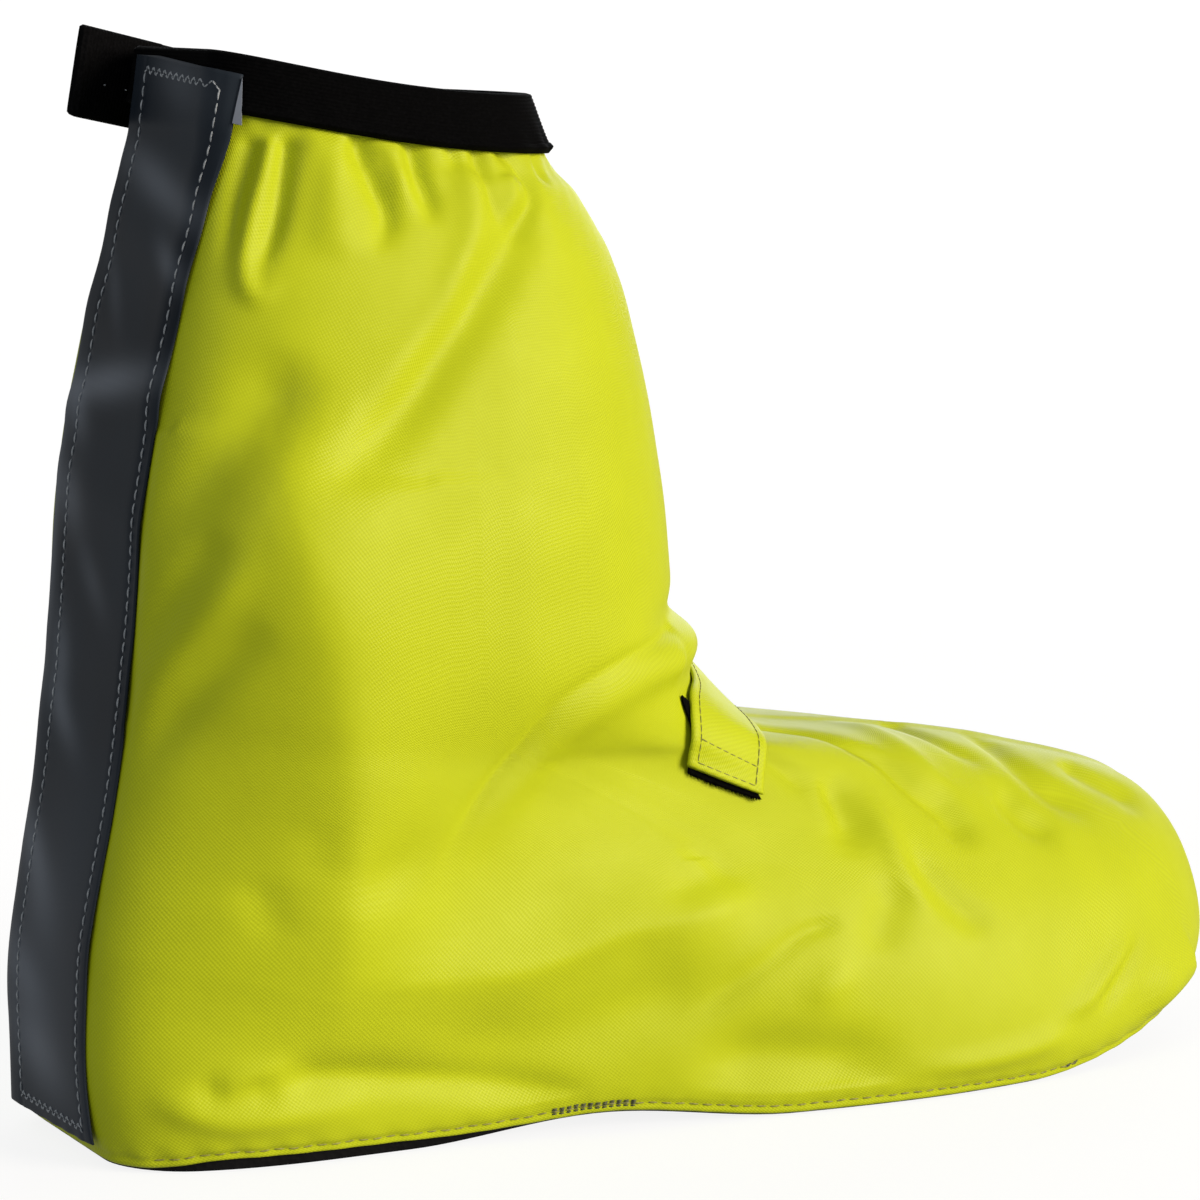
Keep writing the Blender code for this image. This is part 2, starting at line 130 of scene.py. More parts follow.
# Grid of the fabric: (first level, last level, rows), columns on each side, and how much closer together the
# columns are at the back and front centres
ROW_SPANS = ((0.0, 1.0, 12), (1.0, 4.0, 34), (4.0, 8.0, 92),
             (8.0, 12.0, 36), (12.0, 16.0, 64), (16.0, 17.9, 20))
SIDE_COLUMNS = 160
COLUMN_CROWDING = 0.35
EASE_LEVELS = (1.0, 3.0, 14.0, 16.5)
EASE_PASSES = 24
EASE_SHARE = 0.25
LEVEL_STEP = 0.03
LINING_ROW_STEP = 6
LINING_COLUMN_STEP = 2

# Camera: seen from behind the lateral side, a little above
VIEW_TURN = 27.0
VIEW_RISE = 8.05
VIEW_DISTANCE = 1048.0
VIEW_TARGET = (142.9, 0.0, 114.1)
VIEW_LENS = 135.0
VIEW_SENSOR = 36.0
VIEW_FAR = 200.0

# Creases of the lateral side. Each row is half width, height (ridges positive, troughs negative), sharpness
# (2 is a soft round, less is a crisp line), the shares of its run over which it fades in and out, and its run
# as places along the foot and over the floor. Those of the lateral side are read off the photograph's view.
LATERAL_CREASES = (
    # Gathers under the band
    (2.4, -1.8, 1.8, 0.0, 0.5, ((43, 222), (40, 213), (38, 204), (35, 195))),
    (2.2, 1.6, 2.0, 0.0, 0.3, ((47, 222), (45, 216), (42, 209), (40, 202), (39, 194), (42, 191), (48, 196))),
    (2.3, -2.6, 1.8, 0.0, 0.5, ((50, 222), (48, 213), (46, 206), (43, 199), (40, 195))),
    (5.0, 1.6, 2.0, 0.0, 0.5, ((59, 221), (59, 211), (58, 202), (57, 197))),
    (2.6, -2.6, 1.8, 0.0, 0.5, ((66, 222), (68, 214), (70, 208), (68, 203), (64, 199))),
    (2.2, 1.2, 2.0, 0.0, 0.5, ((73, 221), (74, 215), (76, 207))),
    (2.2, -2.4, 1.8, 0.0, 0.5, ((78, 222), (79, 215), (80, 209), (78, 204))),
    (1.4, -0.8, 1.8, 0.0, 0.6, ((87, 222), (89, 216))),
    (4.0, 1.6, 2.0, 0.1, 0.5, ((92, 219), (91, 210), (89, 202), (85, 194), (81, 187), (71, 177), (62, 167),
                               (50, 152))),
    (2.0, -1.8, 1.8, 0.0, 0.5, ((94, 222), (95, 214), (96, 208), (96, 203))),
    (2.0, 1.0, 2.0, 0.2, 0.5, ((100, 216), (102, 210), (98, 205))),
    (2.2, -2.2, 1.8, 0.0, 0.5, ((101, 221), (105, 218), (108, 213), (107, 209), (103, 204), (98, 199))),
    (1.3, -0.8, 1.8, 0.0, 0.6, ((112, 218), (115, 211))),
    # Long soft fold of the shaft
    (5.6, -3.3, 1.9, 0.12, 0.35, ((107, 211), (99, 200), (89, 189), (80, 179), (71, 168), (57, 155),
                                  (47, 147))),
    # Edge where the flat side of the shaft turns to the heel, and the folds behind it
    (26.0, 9.0, 1.5, 0.25, 0.32, ((44, 178), (46, 165), (44, 150), (47, 135), (51, 122), (54, 107), (56, 91),
                                  (57, 76), (57, 62), (56, 50), (54, 38), (51, 28), (47, 18))),
    (8.0, -3.0, 2.0, 0.25, 0.4, ((49, 180), (39, 165), (28, 150), (20, 134))),
    (4.0, -1.4, 2.0, 0.3, 0.4, ((33, 143), (28, 135), (22, 124), (17, 114))),
    (4.0, 1.3, 2.0, 0.3, 0.3, ((38, 139), (32, 129), (25, 118), (19, 106), (15, 93))),
    (4.0, -1.1, 2.0, 0.3, 0.4, ((40, 124), (35, 118), (27, 107), (20, 96), (15, 84))),
    (4.5, -0.5, 2.0, 0.4, 0.4, ((49, 82), (50, 64))),
    (4.5, -0.8, 2.0, 0.4, 0.4, ((37, 69), (39, 60), (44, 50))),
    (6.0, -1.2, 2.0, 0.5, 0.5, ((78, 79), (66, 68), (54, 58))),
    # Pouch at the front of the ankle, the fold that spreads from it, and the edge of the flat side above the
    # heel's waist
    (5.0, 2.5, 2.0, 0.0, 0.7, ((157, 106), (151, 107), (144, 106), (134, 104), (122, 100))),
    (4.0, -2.0, 2.0, 0.0, 0.6, ((157, 118), (149, 116), (138, 114), (126, 110))),
    (1.6, -1.1, 1.6, 0.05, 0.35, ((144, 113), (136, 111), (122, 108), (106, 101), (96, 90), (87, 80),
                                  (81, 69), (78, 60))),
    (4.5, 1.6, 2.0, 0.05, 0.45, ((144, 106), (129, 103), (112, 96), (101, 86), (92, 76), (86, 66))),
    (11.0, 4.4, 1.4, 0.3, 0.3, ((157, 60), (154, 51), (141, 48), (124, 46), (109, 42), (95, 40), (71, 40),
                                (50, 43))),
    (9.0, -2.6, 2.0, 0.3, 0.3, ((160, 33), (140, 31), (128, 30), (109, 25), (90, 23), (71, 24))),
    (5.0, -1.0, 2.0, 0.3, 0.4, ((140, 43), (123, 42), (111, 37), (97, 31))),
    (4.0, -1.0, 2.0, 0.3, 0.4, ((133, 52), (145, 56), (151, 52))),
    # Slack over the hem and the heel
    (4.2, -2.4, 1.8, 0.15, 0.35, ((41, 21), (59, 20), (83, 16), (107, 11), (118, 8))),
    (3.5, 1.6, 2.0, 0.3, 0.4, ((14, 19), (22, 15), (32, 12), (48, 12), (71, 12))),
    (2.4, 0.9, 2.0, 0.3, 0.3, ((28, 17), (34, 22), (46, 24))),
    (2.6, -0.6, 2.0, 0.4, 0.4, ((37, 22), (41, 14))),
    (2.8, -0.7, 2.0, 0.4, 0.4, ((24, 23), (32, 16))),
    (7.0, -3.2, 2.0, 0.3, 0.3, ((136, 14), (157, 15), (174, 13), (196, 10))),
    (3.0, 1.3, 2.0, 0.4, 0.2, ((192, 9), (208, 8), (225, 9), (244, 12))),
    # Folds of the vamp
    (2.6, -1.9, 1.8, 0.0, 0.4, ((166, 88), (178, 84), (189, 82), (197, 79), (203, 76), (208, 70), (213, 65),
                                (218, 60), (222, 55))),
    (4.0, 1.2, 2.0, 0.2, 0.5, ((206, 82), (211, 77), (217, 71), (222, 65))),
    (3.0, -1.4, 1.9, 0.0, 0.5, ((166, 82), (172, 78), (177, 74), (182, 70))),
    (4.4, -2.5, 2.0, 0.35, 0.35, ((184, 76), (186, 70), (187, 64), (188, 56))),
    (2.0, 1.0, 1.9, 0.3, 0.4, ((181, 75), (182, 68), (184, 61))),
    (2.8, 1.7, 1.9, 0.25, 0.4, ((194, 72), (197, 62), (198, 55), (201, 47), (205, 41))),
    (3.2, -1.5, 2.0, 0.3, 0.3, ((200, 61), (205, 50), (213, 42), (220, 37))),
    (4.2, -2.0, 2.0, 0.4, 0.4, ((212, 71), (216, 66), (219, 60), (220, 54))),
    (3.0, -1.8, 1.9, 0.1, 0.4, ((222, 81), (224, 78), (227, 75), (232, 72), (238, 70))),
    (4.2, -2.2, 2.0, 0.3, 0.4, ((236, 69), (237, 63), (240, 59), (245, 56), (251, 54))),
    (4.6, -2.4, 2.0, 0.15, 0.4, ((247, 75), (246, 71), (249, 67), (253, 63), (259, 59), (267, 56))),
    (5.0, -2.0, 2.0, 0.2, 0.3, ((264, 68), (270, 64), (278, 60), (285, 54))),
    (5.0, -1.7, 2.0, 0.3, 0.4, ((197, 52), (190, 43), (185, 34))),
    (1.7, -1.5, 1.5, 0.05, 0.3, ((177, 44), (168, 42), (160, 37), (149, 31), (139, 22))),
    (4.0, 1.3, 2.0, 0.4, 0.4, ((182, 36), (174, 30), (168, 26))),
    # Folds of the toe, and its corner over the hem
    (2.6, 1.6, 1.8, 0.3, 0.3, ((266, 34), (260, 28), (253, 23), (246, 18), (236, 16))),
    (2.4, -1.5, 1.8, 0.3, 0.3, ((267, 33), (261, 25), (255, 19), (249, 14))),
    (7.0, 3.0, 2.0, 0.2, 0.4, ((290, 22), (283, 19), (274, 16), (262, 12))),
)
MEDIAL_CREASES = (
    (3.6, -2.0, 1.7, 0.1, 0.5, ((108, 214), (96, 197), (80, 176), (62, 154))),
    (3.4, 1.3, 2.0, 0.1, 0.6, ((100, 213), (86, 192), (66, 172))),
    (4.0, 1.0, 2.0, 0.1, 0.6, ((114, 212), (119, 188))),
    (6.0, -1.5, 2.0, 0.4, 0.4, ((60, 162), (42, 140), (30, 116))),
    (10.0, 1.7, 2.0, 0.3, 0.4, ((54, 146), (58, 112), (58, 70))),
    (5.0, 1.2, 2.0, 0.4, 0.4, ((44, 130), (30, 112), (20, 92))),
    (3.0, -1.6, 1.5, 0.1, 0.4, ((146, 112), (122, 105), (100, 90), (84, 72))),
    (7.0, 2.2, 2.0, 0.1, 0.4, ((147, 104), (122, 95), (100, 78), (88, 62))),
    (2.8, -1.3, 1.5, 0.1, 0.4, ((142, 94), (132, 76), (122, 54))),
    (3.4, 1.2, 2.0, 0.1, 0.4, ((140, 86), (130, 62), (124, 46))),
    (5.0, 0.9, 2.0, 0.4, 0.5, ((150, 72), (158, 54), (142, 34))),
    (2.6, -1.0, 1.6, 0.0, 0.5, ((170, 82), (190, 78), (205, 71))),
    (2.8, -1.1, 1.6, 0.2, 0.5, ((214, 77), (225, 68), (238, 60))),
    (3.0, -1.1, 1.7, 0.2, 0.5, ((244, 69), (254, 58), (264, 50))),
    (3.2, 0.9, 1.8, 0.3, 0.5, ((196, 64), (204, 50), (216, 40))),
    (3.0, 0.8, 2.0, 0.4, 0.5, ((240, 28), (256, 33), (268, 42))),
    (6.0, -1.1, 2.0, 0.4, 0.4, ((30, 22), (70, 24), (108, 12))),
)
CREASE_STEP = 0.6
CREASE_SEEK = 3.0
CREASE_EASING = 4
CREASE_REACH = 4.6
CREASE_NEIGHBOURS = 12

# Gathers of the medial side and the front, made by a loop. The span is in shares of the medial side from the
# back's centre. Other pairs are the least and the most.
GATHER_SPAN = (0.30, 1.0)
GATHER_SPACING = 7.5
GATHER_UNEVENNESS = (0.7, 1.35)
GATHER_RUN = (10.0, 34.0)
GATHER_LEAN = (-0.35, 0.35)
GATHER_DEPTH = (1.0, 2.1)
GATHER_WIDTH = (1.8, 3.4)
GATHER_SHARPNESS = 1.7
GATHER_FADE = 0.7
GATHER_POINTS = 12
GATHER_LEVEL_HEIGHT = 11.0
BAND_FOOT_LEVEL = 17.15

# Fine puckers under the band and over the hem, whose phase wanders by WANDER on the way round
PUCKER_LENGTH = 6.6
PUCKER_DEPTH = 0.6
PUCKER_FADE = 10.0
PUCKER_WANDER_LENGTH = 23.0
HEM_PUCKER_LENGTH = 8.5
HEM_PUCKER_DEPTH = 0.22
HEM_PUCKER_RISE = 1.0
HEM_PUCKER_WIDTH = 2.6
HEM_WANDER_LENGTH = 31.0
WANDER = 2.0

# Hem with its fold and stitch groove, and centre seam at the front
HEM_CLEAR = 0.3
HEM_DROP_SPAN = (72.0, 112.0)
HEM_BACK_SPAN = (34.0, 12.0)
HEM_ROUND = 0.6
HEM_STITCH_HEIGHT = 2.2
HEM_GROOVE = 0.35
HEM_GROOVE_WIDTH = 0.8
SEAM_HEIGHT = 0.7
SEAM_WIDTH = 1.3
SEAM_START = 4.0
SEAM_FADE = 6.0

# Slow unevenness of the slack fabric: size of its waves and their height
SLACK_WAVES = ((42.0, 0.55), (17.0, 0.22))

# Stretches where other pieces hold the fabric down: below the band, under the strap (its back, front and
# lower end), at the hem, over the sole's rim and beside the tape
HELD_LEVEL = 16.0
HELD_ROOM = 3.0
HELD_FADE = 0.6
STRAP_ZONE = (138.0, 178.0, 62.0)
STRAP_ZONE_FADE = 6.0
STRAP_ZONE_LEVEL = 8.6
STRAP_ROOM = 0.4
HEM_FADE = 9.0
RIM_ROOM = 0.2
RIM_FADE = 0.6
FOLD_LIMIT = 9.0
STRIP_FADE = 6.0
STRIP_FADE_START = 0.4

# Sole panel
SOLE_PLATE = 1.8
SOLE_RIM = 1.2
SOLE_RIM_LEVEL = 0.7
SOLE_RIM_START = 0.25
SOLE_RIM_ROWS = 4
SOLE_EDGE = 0.6
SOLE_ROUND = 0.2
SOLE_STRIPS = 40
SOLE_COLUMNS = 120

# Collar band
BAND_LEVELS = (17.2, 18.0)
BAND_THICKNESS = 1.5
BAND_OUT = GAP + BAND_THICKNESS
BAND_COLUMNS = 360
BAND_RIBS = 15
BAND_RIB_HEIGHT = 0.16
BAND_RIB_POINTS = 4
BAND_LIP = 0.55
BAND_LIP_SHARE = 0.1
BAND_WAVE = 0.25
BAND_WAVES = 31
BAND_WAVE_WANDERS = 5

# Reflective tape
STRIP_MEDIAL_EDGE = -29.0
STRIP_LATERAL_EDGE = 22.5
STRIP_TOP_SHIFT = 7.0
STRIP_THICKNESS = 0.6
STRIP_GAP = 0.15
STRIP_BOTTOM = 0.5
STRIP_STRAIGHT_LEVEL = 2.0
STRIP_HANG = (1.0, 0.35)
STRIP_RAMP = (14.4, 17.2)
STRIP_TOP = 17.85
STRIP_TOP_SKEW = 0.22
STRIP_SKEW_POWER = 6
STRIP_NARROWING = (12.0, 17.6, 4.0)
STRIP_ROWS = 300
STRIP_COLUMNS = 72
STRIP_MEDIAL_INSET = (12.0, 6.0)
STRIP_LATERAL_INSET = 3.6
STRIP_STITCH_ROWS = (6, STRIP_ROWS - 4)
ZIGZAG_ROWS = ((4, 7), (STRIP_ROWS - 6, STRIP_ROWS - 4))
ZIGZAG_STEPS = 22
STRIP_GROOVE = 0.16
STRIP_GROOVE_WIDTH = 0.9
CORNER_ROWS = 13
CORNER_WIDTH = 2.0
CORNER_TIP = 0.2
CORNER_DEPTH = 1.0

# Soft bends of the tape: heights over the floor at its medial and lateral edge, half width and height
STRIP_BENDS = (
    (36.0, 52.0, 12.0, 0.5),
    (74.0, 62.0, 10.0, -0.4),
    (96.0, 104.0, 11.0, 0.5),
    (128.0, 118.0, 9.0, -0.5),
    (150.0, 142.0, 6.0, 0.35),
    (163.0, 168.0, 4.5, 0.6),
    (186.0, 172.0, 7.0, 0.5),
    (208.0, 194.0, 7.0, 0.6),
    (218.0, 212.0, 5.0, 0.4),
)

# Painted sheen of the tape: paler spots and bands of reflected light, painted into its colour. Each row is
# its height over the floor, place across (medial side plus), half height, half width, rise per length across,
# and strength
TAPE_PAINTED_SHEEN = (
    (236.0, -8.0, 6.0, 14.0, 0.2, 0.25),
    (213.0, -6.0, 4.5, 24.0, 0.26, 0.55),
    (197.0, -20.0, 3.5, 8.0, 0.4, 0.45),
    (190.0, 8.0, 4.0, 8.0, 0.9, 0.2),
    (170.0, 2.0, 4.0, 26.0, -0.12, 0.75),
    (163.0, 16.0, 6.0, 7.0, 0.4, 0.55),
    (144.0, 15.0, 7.0, 9.0, 0.3, 0.5),
    (127.0, -2.0, 5.0, 9.0, 0.6, 0.25),
    (108.0, 14.0, 9.0, 6.0, 0.5, 0.5),
    (96.0, 10.0, 5.0, 10.0, 0.5, 0.45),
    (66.0, 17.0, 6.0, 10.0, 0.5, 0.55),
    (56.0, 8.0, 8.0, 12.0, 0.3, 0.3),
    (38.0, 14.0, 7.0, 14.0, 0.3, 0.5),
    (22.0, 6.0, 8.0, 16.0, 0.2, 0.55),
    (140.0, 25.0, 34.0, 4.0, 0.0, 0.6),
    (42.0, 2.0, 36.0, 26.0, 0.0, 0.25),
)

# Instep strap and its patch, laid round a line along the foot. The relief is a raised edge and a groove, each
# with its height, place and half width, the last two as shares of the strap's half width.
STRAP_AXIS_Z = 60.0
STRAP_LEVELS = (3.0, 13.0)
STRAP_COLUMNS = ("back_x", "back_turn", "front_x", "front_turn", "lift")
STRAP_ROWS = (
    (149.0, -64.0, 167.0, -70.0, 0.4),
    (155.0, -34.0, 171.0, -38.0, 0.5),
    (158.5, 0.0, 174.0, 0.0, 0.5),
    (154.5, 31.0, 171.0, 36.0, 1.0),
    (147.4, 46.0, 168.0, 54.0, 1.4),
    (144.6, 62.6, 164.0, 72.0, 1.7),
)
STRAP_THICKNESS = 1.3
STRAP_STATIONS = 110
STRAP_ACROSS = 21
STRAP_EASING = 4
STRAP_RELIEF = ((0.25, 0.93, 0.06), (-0.22, 0.76, 0.07))
STRAP_SEAM_INSET = 2
STRAP_SEAM_ROWS = (-3, -10, 3)
PATCH_ROWS = (
    (144.2, 46.0, 158.0, 47.0, 0.5),
    (146.4, 54.0, 160.0, 58.0, 0.5),
    (145.2, 64.0, 164.0, 73.4, 0.5),
)
PATCH_THICKNESS = 1.1
PATCH_STATIONS = 30

# Loose hooks at the patch's free end: where they start in shares of its thickness, and how they lean
HOOKS = 150
HOOK_LENGTH = (0.5, 1.2)
HOOK_RADIUS = 0.1
HOOK_INSET = 1.001
HOOK_FOOT = (-0.4, 0.45)
HOOK_LIFT = (-0.3, 0.8)
HOOK_SCATTER = (-0.5, 0.5)
HOOK_SIDES = ((0, 1, 3), (1, 2, 3), (2, 0, 3), (2, 1, 0))

# Collar tab of webbing
TAB_LEVELS = (16.5, 18.15)
TAB_START = -58.0
TAB_LEAVE = -40.0
TAB_TAIL = 25.0
TAB_RETURN = 22.0
TAB_THICKNESS = 1.3
TAB_SLOT = 0.8
TAB_RIB_LENGTH = 0.9
TAB_RIB_HEIGHT = 0.14
TAB_STEP = 0.22
TAB_ROWS = 18
TAB_FOLD_POINTS = 16
TAB_REACH = 1.0
TAB_MARK_SHARE = 0.55

# Edges of flat pieces: how far they bulge, as a share of half the thickness
RIBBON_EDGE = 0.8

# Threads: pitch, share of the pitch that shows, radius, and how far the middle of a stitch stands up
STITCHES = {
    "tab_marks": (6.0, 0.12, 0.15, 0.12),
    "hem_stitches": (3.3, 0.8, 0.24, 0.2),
    "hem_bar_tack": (1.7, 0.8, 0.22, 0.25),
    "tape_stitches": (3.0, 0.78, 0.24, 0.16),
    "tape_zigzag": (1.2, 1.0, 0.2, 0.2),
    "strap_stitches": (2.2, 0.86, 0.14, 0.1),
}
THREAD_SIDES = 6
THREAD_STATIONS = 6
THREAD_SINK = 0.6
THREAD_END = 0.45

# Hem stitches and bar tacks: first and last place along the foot, and for a tack the heights of its lines
HEM_STITCH_SPAN = (16.0, 246.0)
BAR_TACKS = ((107.0, 131.0, (1.6, 2.1, 2.6, 3.1)), (240.0, 247.0, (1.9, 2.5)))

# Colours in pairs: the plain one and the one that the grain mixes into it
YELLOW = ((0.445, 0.51, 0.009), (0.355, 0.405, 0.007))
LINING_YELLOW = ((0.55, 0.58, 0.08), (0.42, 0.45, 0.06))
ELASTIC_BLACK = ((0.0006, 0.0006, 0.0007), (0.0022, 0.0022, 0.0024))
WEBBING_BLACK = ((0.0012, 0.0012, 0.0014), (0.004, 0.004, 0.0045))
HOOK_BLACK = ((0.0012, 0.0012, 0.0012), (0.005, 0.005, 0.005))
RUBBER_BLACK = ((0.002, 0.002, 0.0022), (0.006, 0.006, 0.0065))
# The tape's paler grey comes in broad clouds: uneven tone of the tape and, in part, painted sheen
TAPE_GREY = ((0.009, 0.013, 0.019), (0.021, 0.028, 0.037))
TAPE_BACK_GREY = ((0.10, 0.12, 0.15), (0.16, 0.18, 0.22))
# Paler grey painted on the tape where its sheen of reflected light shows
PAINTED_SHEEN_GREY = (0.155, 0.175, 0.205)
GREY_THREAD = ((0.20, 0.22, 0.24), (0.36, 0.38, 0.40))
OLIVE_THREAD = ((0.15, 0.15, 0.02), (0.27, 0.27, 0.04))
DARK_THREAD = ((0.03, 0.035, 0.02), (0.10, 0.11, 0.03))
FLOOR_GREY = ((0.14, 0.14, 0.14), (0.16, 0.16, 0.16))
WHITE = (1.0, 1.0, 1.0, 1.0)

# Finish of the cloths: length and depth of the weave in millimetres, roughness and sheen. Finish of the black
# yarns: grains per metre and roughness.
FABRIC_FINISH = (1.0, 0.06, 0.47, 0.0)
LINING_FINISH = (0.9, 0.05, 0.7, 0.1)
ELASTIC_FINISH = (1400.0, 0.9)
WEBBING_FINISH = (1500.0, 0.8)
HOOK_FINISH = (2200.0, 0.9)

# Range in which most of a noise's values lie
NOISE_RANGE = (0.3, 0.7)

# Floor: half its side in metres, how far it lies under the sole's flat spots, and how bright it is by itself
FLOOR_HALF = 40.0
FLOOR_GAP = 0.1
FLOOR_GLOW = 0.86

# Lights: name, strength, colour, width in degrees and where it comes from; and the even surround
LIGHTS = (
    ("key", 4.55, (1.0, 0.89, 0.76), 35.0, (0.57, -0.78, 0.25)),
    ("rim", 0.35, (0.80, 0.90, 1.0), 20.0, (-0.85, -0.45, 0.45)),
    ("fill", 0.9, (0.92, 0.96, 1.0), 40.0, (0.55, 0.78, 0.30)),
)
SURROUND = 0.33

SEED = 11
rng = np.random.RandomState(SEED)


def smooth(t):
    """Soft step from 0 to 1."""
    t = np.clip(t, 0.0, 1.0)
    return t * t * (3.0 - 2.0 * t)


def unit(vectors):
    """Vectors of length 1 along the last axis."""
    return vectors / np.maximum(np.linalg.norm(vectors, axis=-1, keepdims=True), 1e-9)


def lengths_along(points):
    """Length along a run of points at each of them."""
    return np.r_[0.0, np.cumsum(np.linalg.norm(np.diff(points, axis=0), axis=1))]


def points_at(places, lengths, points):
    """Points at places along a run, read between its own points."""
    return np.stack([np.interp(places, lengths, points[:, axis]) for axis in range(3)], axis=-1)


def underside(x):
    """Height of the sole's underside over the floor at x."""
    arch = ARCH_RISE * smooth(1.0 - np.abs(x - ARCH_MIDDLE) / ARCH_HALF_LENGTH)
    spring = np.clip((x - SPRING_START) / (LENGTH - SPRING_START), 0.0, None)
    heel = np.clip(1.0 - x / HEEL_ROUND, 0.0, None)
    return arch + SPRING_RISE * spring ** SPRING_POWER + HEEL_RISE * heel ** 2


def section_table():
    """All sections in millimetres, one row each, in the foot's columns and the dip."""
    along = LENGTH / 100.0
    foot_units = {"back_x": along, "front_x": along, "back_round": along, "front_round": along,
                  "back_z": INSTEP_HEIGHT / 100.0, "front_z": INSTEP_HEIGHT / 100.0,
                  "heel_half": HEEL_WIDTH / 100.0, "follow": 1.0}
    rows = []
    for section in FOOT_SECTIONS:
        rows.append([value * foot_units.get(column, BALL_WIDTH / 100.0)
                     for column, value in zip(FOOT_COLUMNS, section)] + [0.0])
    for section in SHAFT_SECTIONS:
        shaft = dict(zip(SHAFT_COLUMNS, section))
        half = shaft["half"] * ANKLE_WIDTH / 100.0
        rows.append([shaft["back_x"] * along, shaft["back_z"] * COLLAR_HEIGHT / 100.0,
                     shaft["front_x"] * along, shaft["front_z"] * COLLAR_HEIGHT / 100.0,
                     half, half, half, shaft["back_round"] * along, shaft["front_round"] * along, 0.0, 0.0,
                     shaft["dip"] * COLLAR_HEIGHT / 100.0])
    return np.array(rows)


SECTIONS = section_table()


def through_rows(rows, place):
    """A row of values at a fractional row number, on a smooth curve through the rows."""
    k = int(np.clip(np.floor(place), 0, len(rows) - 2))
    t = place - k
    start, end = rows[k], rows[k + 1]
    before = rows[k - 1] if k > 0 else 2 * start - end
    after = rows[k + 2] if k + 2 < len(rows) else 2 * end - start
    bend = 2 * before - 5 * start + 4 * end - after
    twist = 3 * start - before - 3 * end + after
    return 0.5 * (2 * start + (end - before) * t + bend * t ** 2 + twist * t ** 3)


def half_outline(size, side):
    """One side of a section's outline, from the back's centre to the front's centre."""
    length = size["front_x"] - size["back_x"]
    run = length * (1.0 - np.cos(np.linspace(0.0, np.pi, OUTLINE_POINTS))) / 2.0
    t = run / length
    ball_half = size["lateral_half"] if side == LATERAL else size["medial_half"]
    half = size["heel_half"] + (ball_half - size["heel_half"]) * smooth((t - WAIST_START) / WAIST_LENGTH)
    squeeze = max(1.0, (size["back_round"] + size["front_round"]) / length)
    back = np.clip(1.0 - run * squeeze / size["back_round"], 0.0, 1.0)
    front = np.clip(1.0 - (length - run) * squeeze / size["front_round"], 0.0, 1.0)
    back_end = (1.0 - back ** BACK_POWER) ** (1 / BACK_POWER)
    front_end = (1.0 - front ** FRONT_POWER) ** (1 / FRONT_POWER)
    centre = size["toe_in"] * np.clip((t - TOE_IN_START) / (1.0 - TOE_IN_START), 0.0, 1.0) ** TOE_IN_POWER
    x = size["back_x"] + run
    y = centre + side * (BACK_FLAT + (half - BACK_FLAT) * back_end) * front_end
    z = size["back_z"] + (size["front_z"] - size["back_z"]) * t + underside(x) * size["follow"]
    z = z - size["dip"] * np.sin(np.pi * t)
    points = np.stack([x, y, z], axis=1)
    flat = np.repeat(points[:1], FLAT_POINTS, axis=0)
    flat[:, 1] *= np.linspace(0.0, 1.0, FLAT_POINTS, endpoint=False)
    return np.vstack([flat, points])


@functools.lru_cache(maxsize=None)
def outline(level):
    """Closed outline of a section: points, distances along it, and the distance to the front's centre."""
    size = dict(zip(FOOT_COLUMNS + ("dip",), through_rows(SECTIONS, level)))
    lateral = half_outline(size, LATERAL)
    medial = half_outline(size, MEDIAL)[::-1]
    points = np.vstack([lateral, medial[1:]])
    distance = lengths_along(points)
    return points, distance, distance[len(lateral) - 1]


def column_shares(count):
    """Shares of one side's run at each column, closer together at both ends."""
    t = np.linspace(0.0, 1.0, count + 1)
    return t - COLUMN_CROWDING * np.sin(2 * np.pi * t) / (2 * np.pi)


def loop_at(level, count):
    """One loop of a section: points, and distances that are negative on the medial side."""
    points, along, front = outline(level)
    shares = column_shares(count)
    distances = np.r_[front * shares[:-1], front + (along[-1] - front) * shares[:-1]]
    loop = points_at(distances, along, points)
    return loop, distances, front, along[-1]


def grid_normals(points):
    """Outward directions of a closed grid with rows going up and columns going round."""
    along = np.roll(points, -1, axis=1) - np.roll(points, 1, axis=1)
    up = np.gradient(points, axis=0)
    return unit(np.cross(along, up))


def around_least(values, rows, columns):
    """The least of each value's neighbours in a closed grid."""
    padded = np.pad(values, ((rows, rows), (0, 0)), mode="edge")
    least = np.min([padded[step:step + len(values)] for step in range(2 * rows + 1)], axis=0)
    return np.min([np.roll(least, step, axis=1) for step in range(-columns, columns + 1)], axis=0)


def lowered_hem(points, levels):
    """Draws the hem down over the sole's edge in front of the heel."""
    over = points[0, :, 2] - underside(points[0, :, 0]) - HEM_CLEAR
    x = points[0, :, 0]
    drop = over * np.maximum(smooth((x - HEM_DROP_SPAN[0]) / (HEM_DROP_SPAN[1] - HEM_DROP_SPAN[0])),
                             smooth((x - HEM_BACK_SPAN[0]) / (HEM_BACK_SPAN[1] - HEM_BACK_SPAN[0])))
    moved = points.copy()
    moved[..., 2] -= drop[None, :] * np.clip(1.0 - levels, 0.0, 1.0)[:, None]
    return moved


def eased_rows(points, levels):
    """Evens out how the surface bends from section to section, away from the hem and the collar."""
    first, second, third, last = EASE_LEVELS
    share = smooth((levels - first) / (second - first)) * smooth((last - levels) / (last - third))
    for _ in range(EASE_PASSES):
        bend = points[:-2] - 2.0 * points[1:-1] + points[2:]
        points = points.copy()
        points[1:-1] += EASE_SHARE * bend * share[1:-1, None, None]
    return points


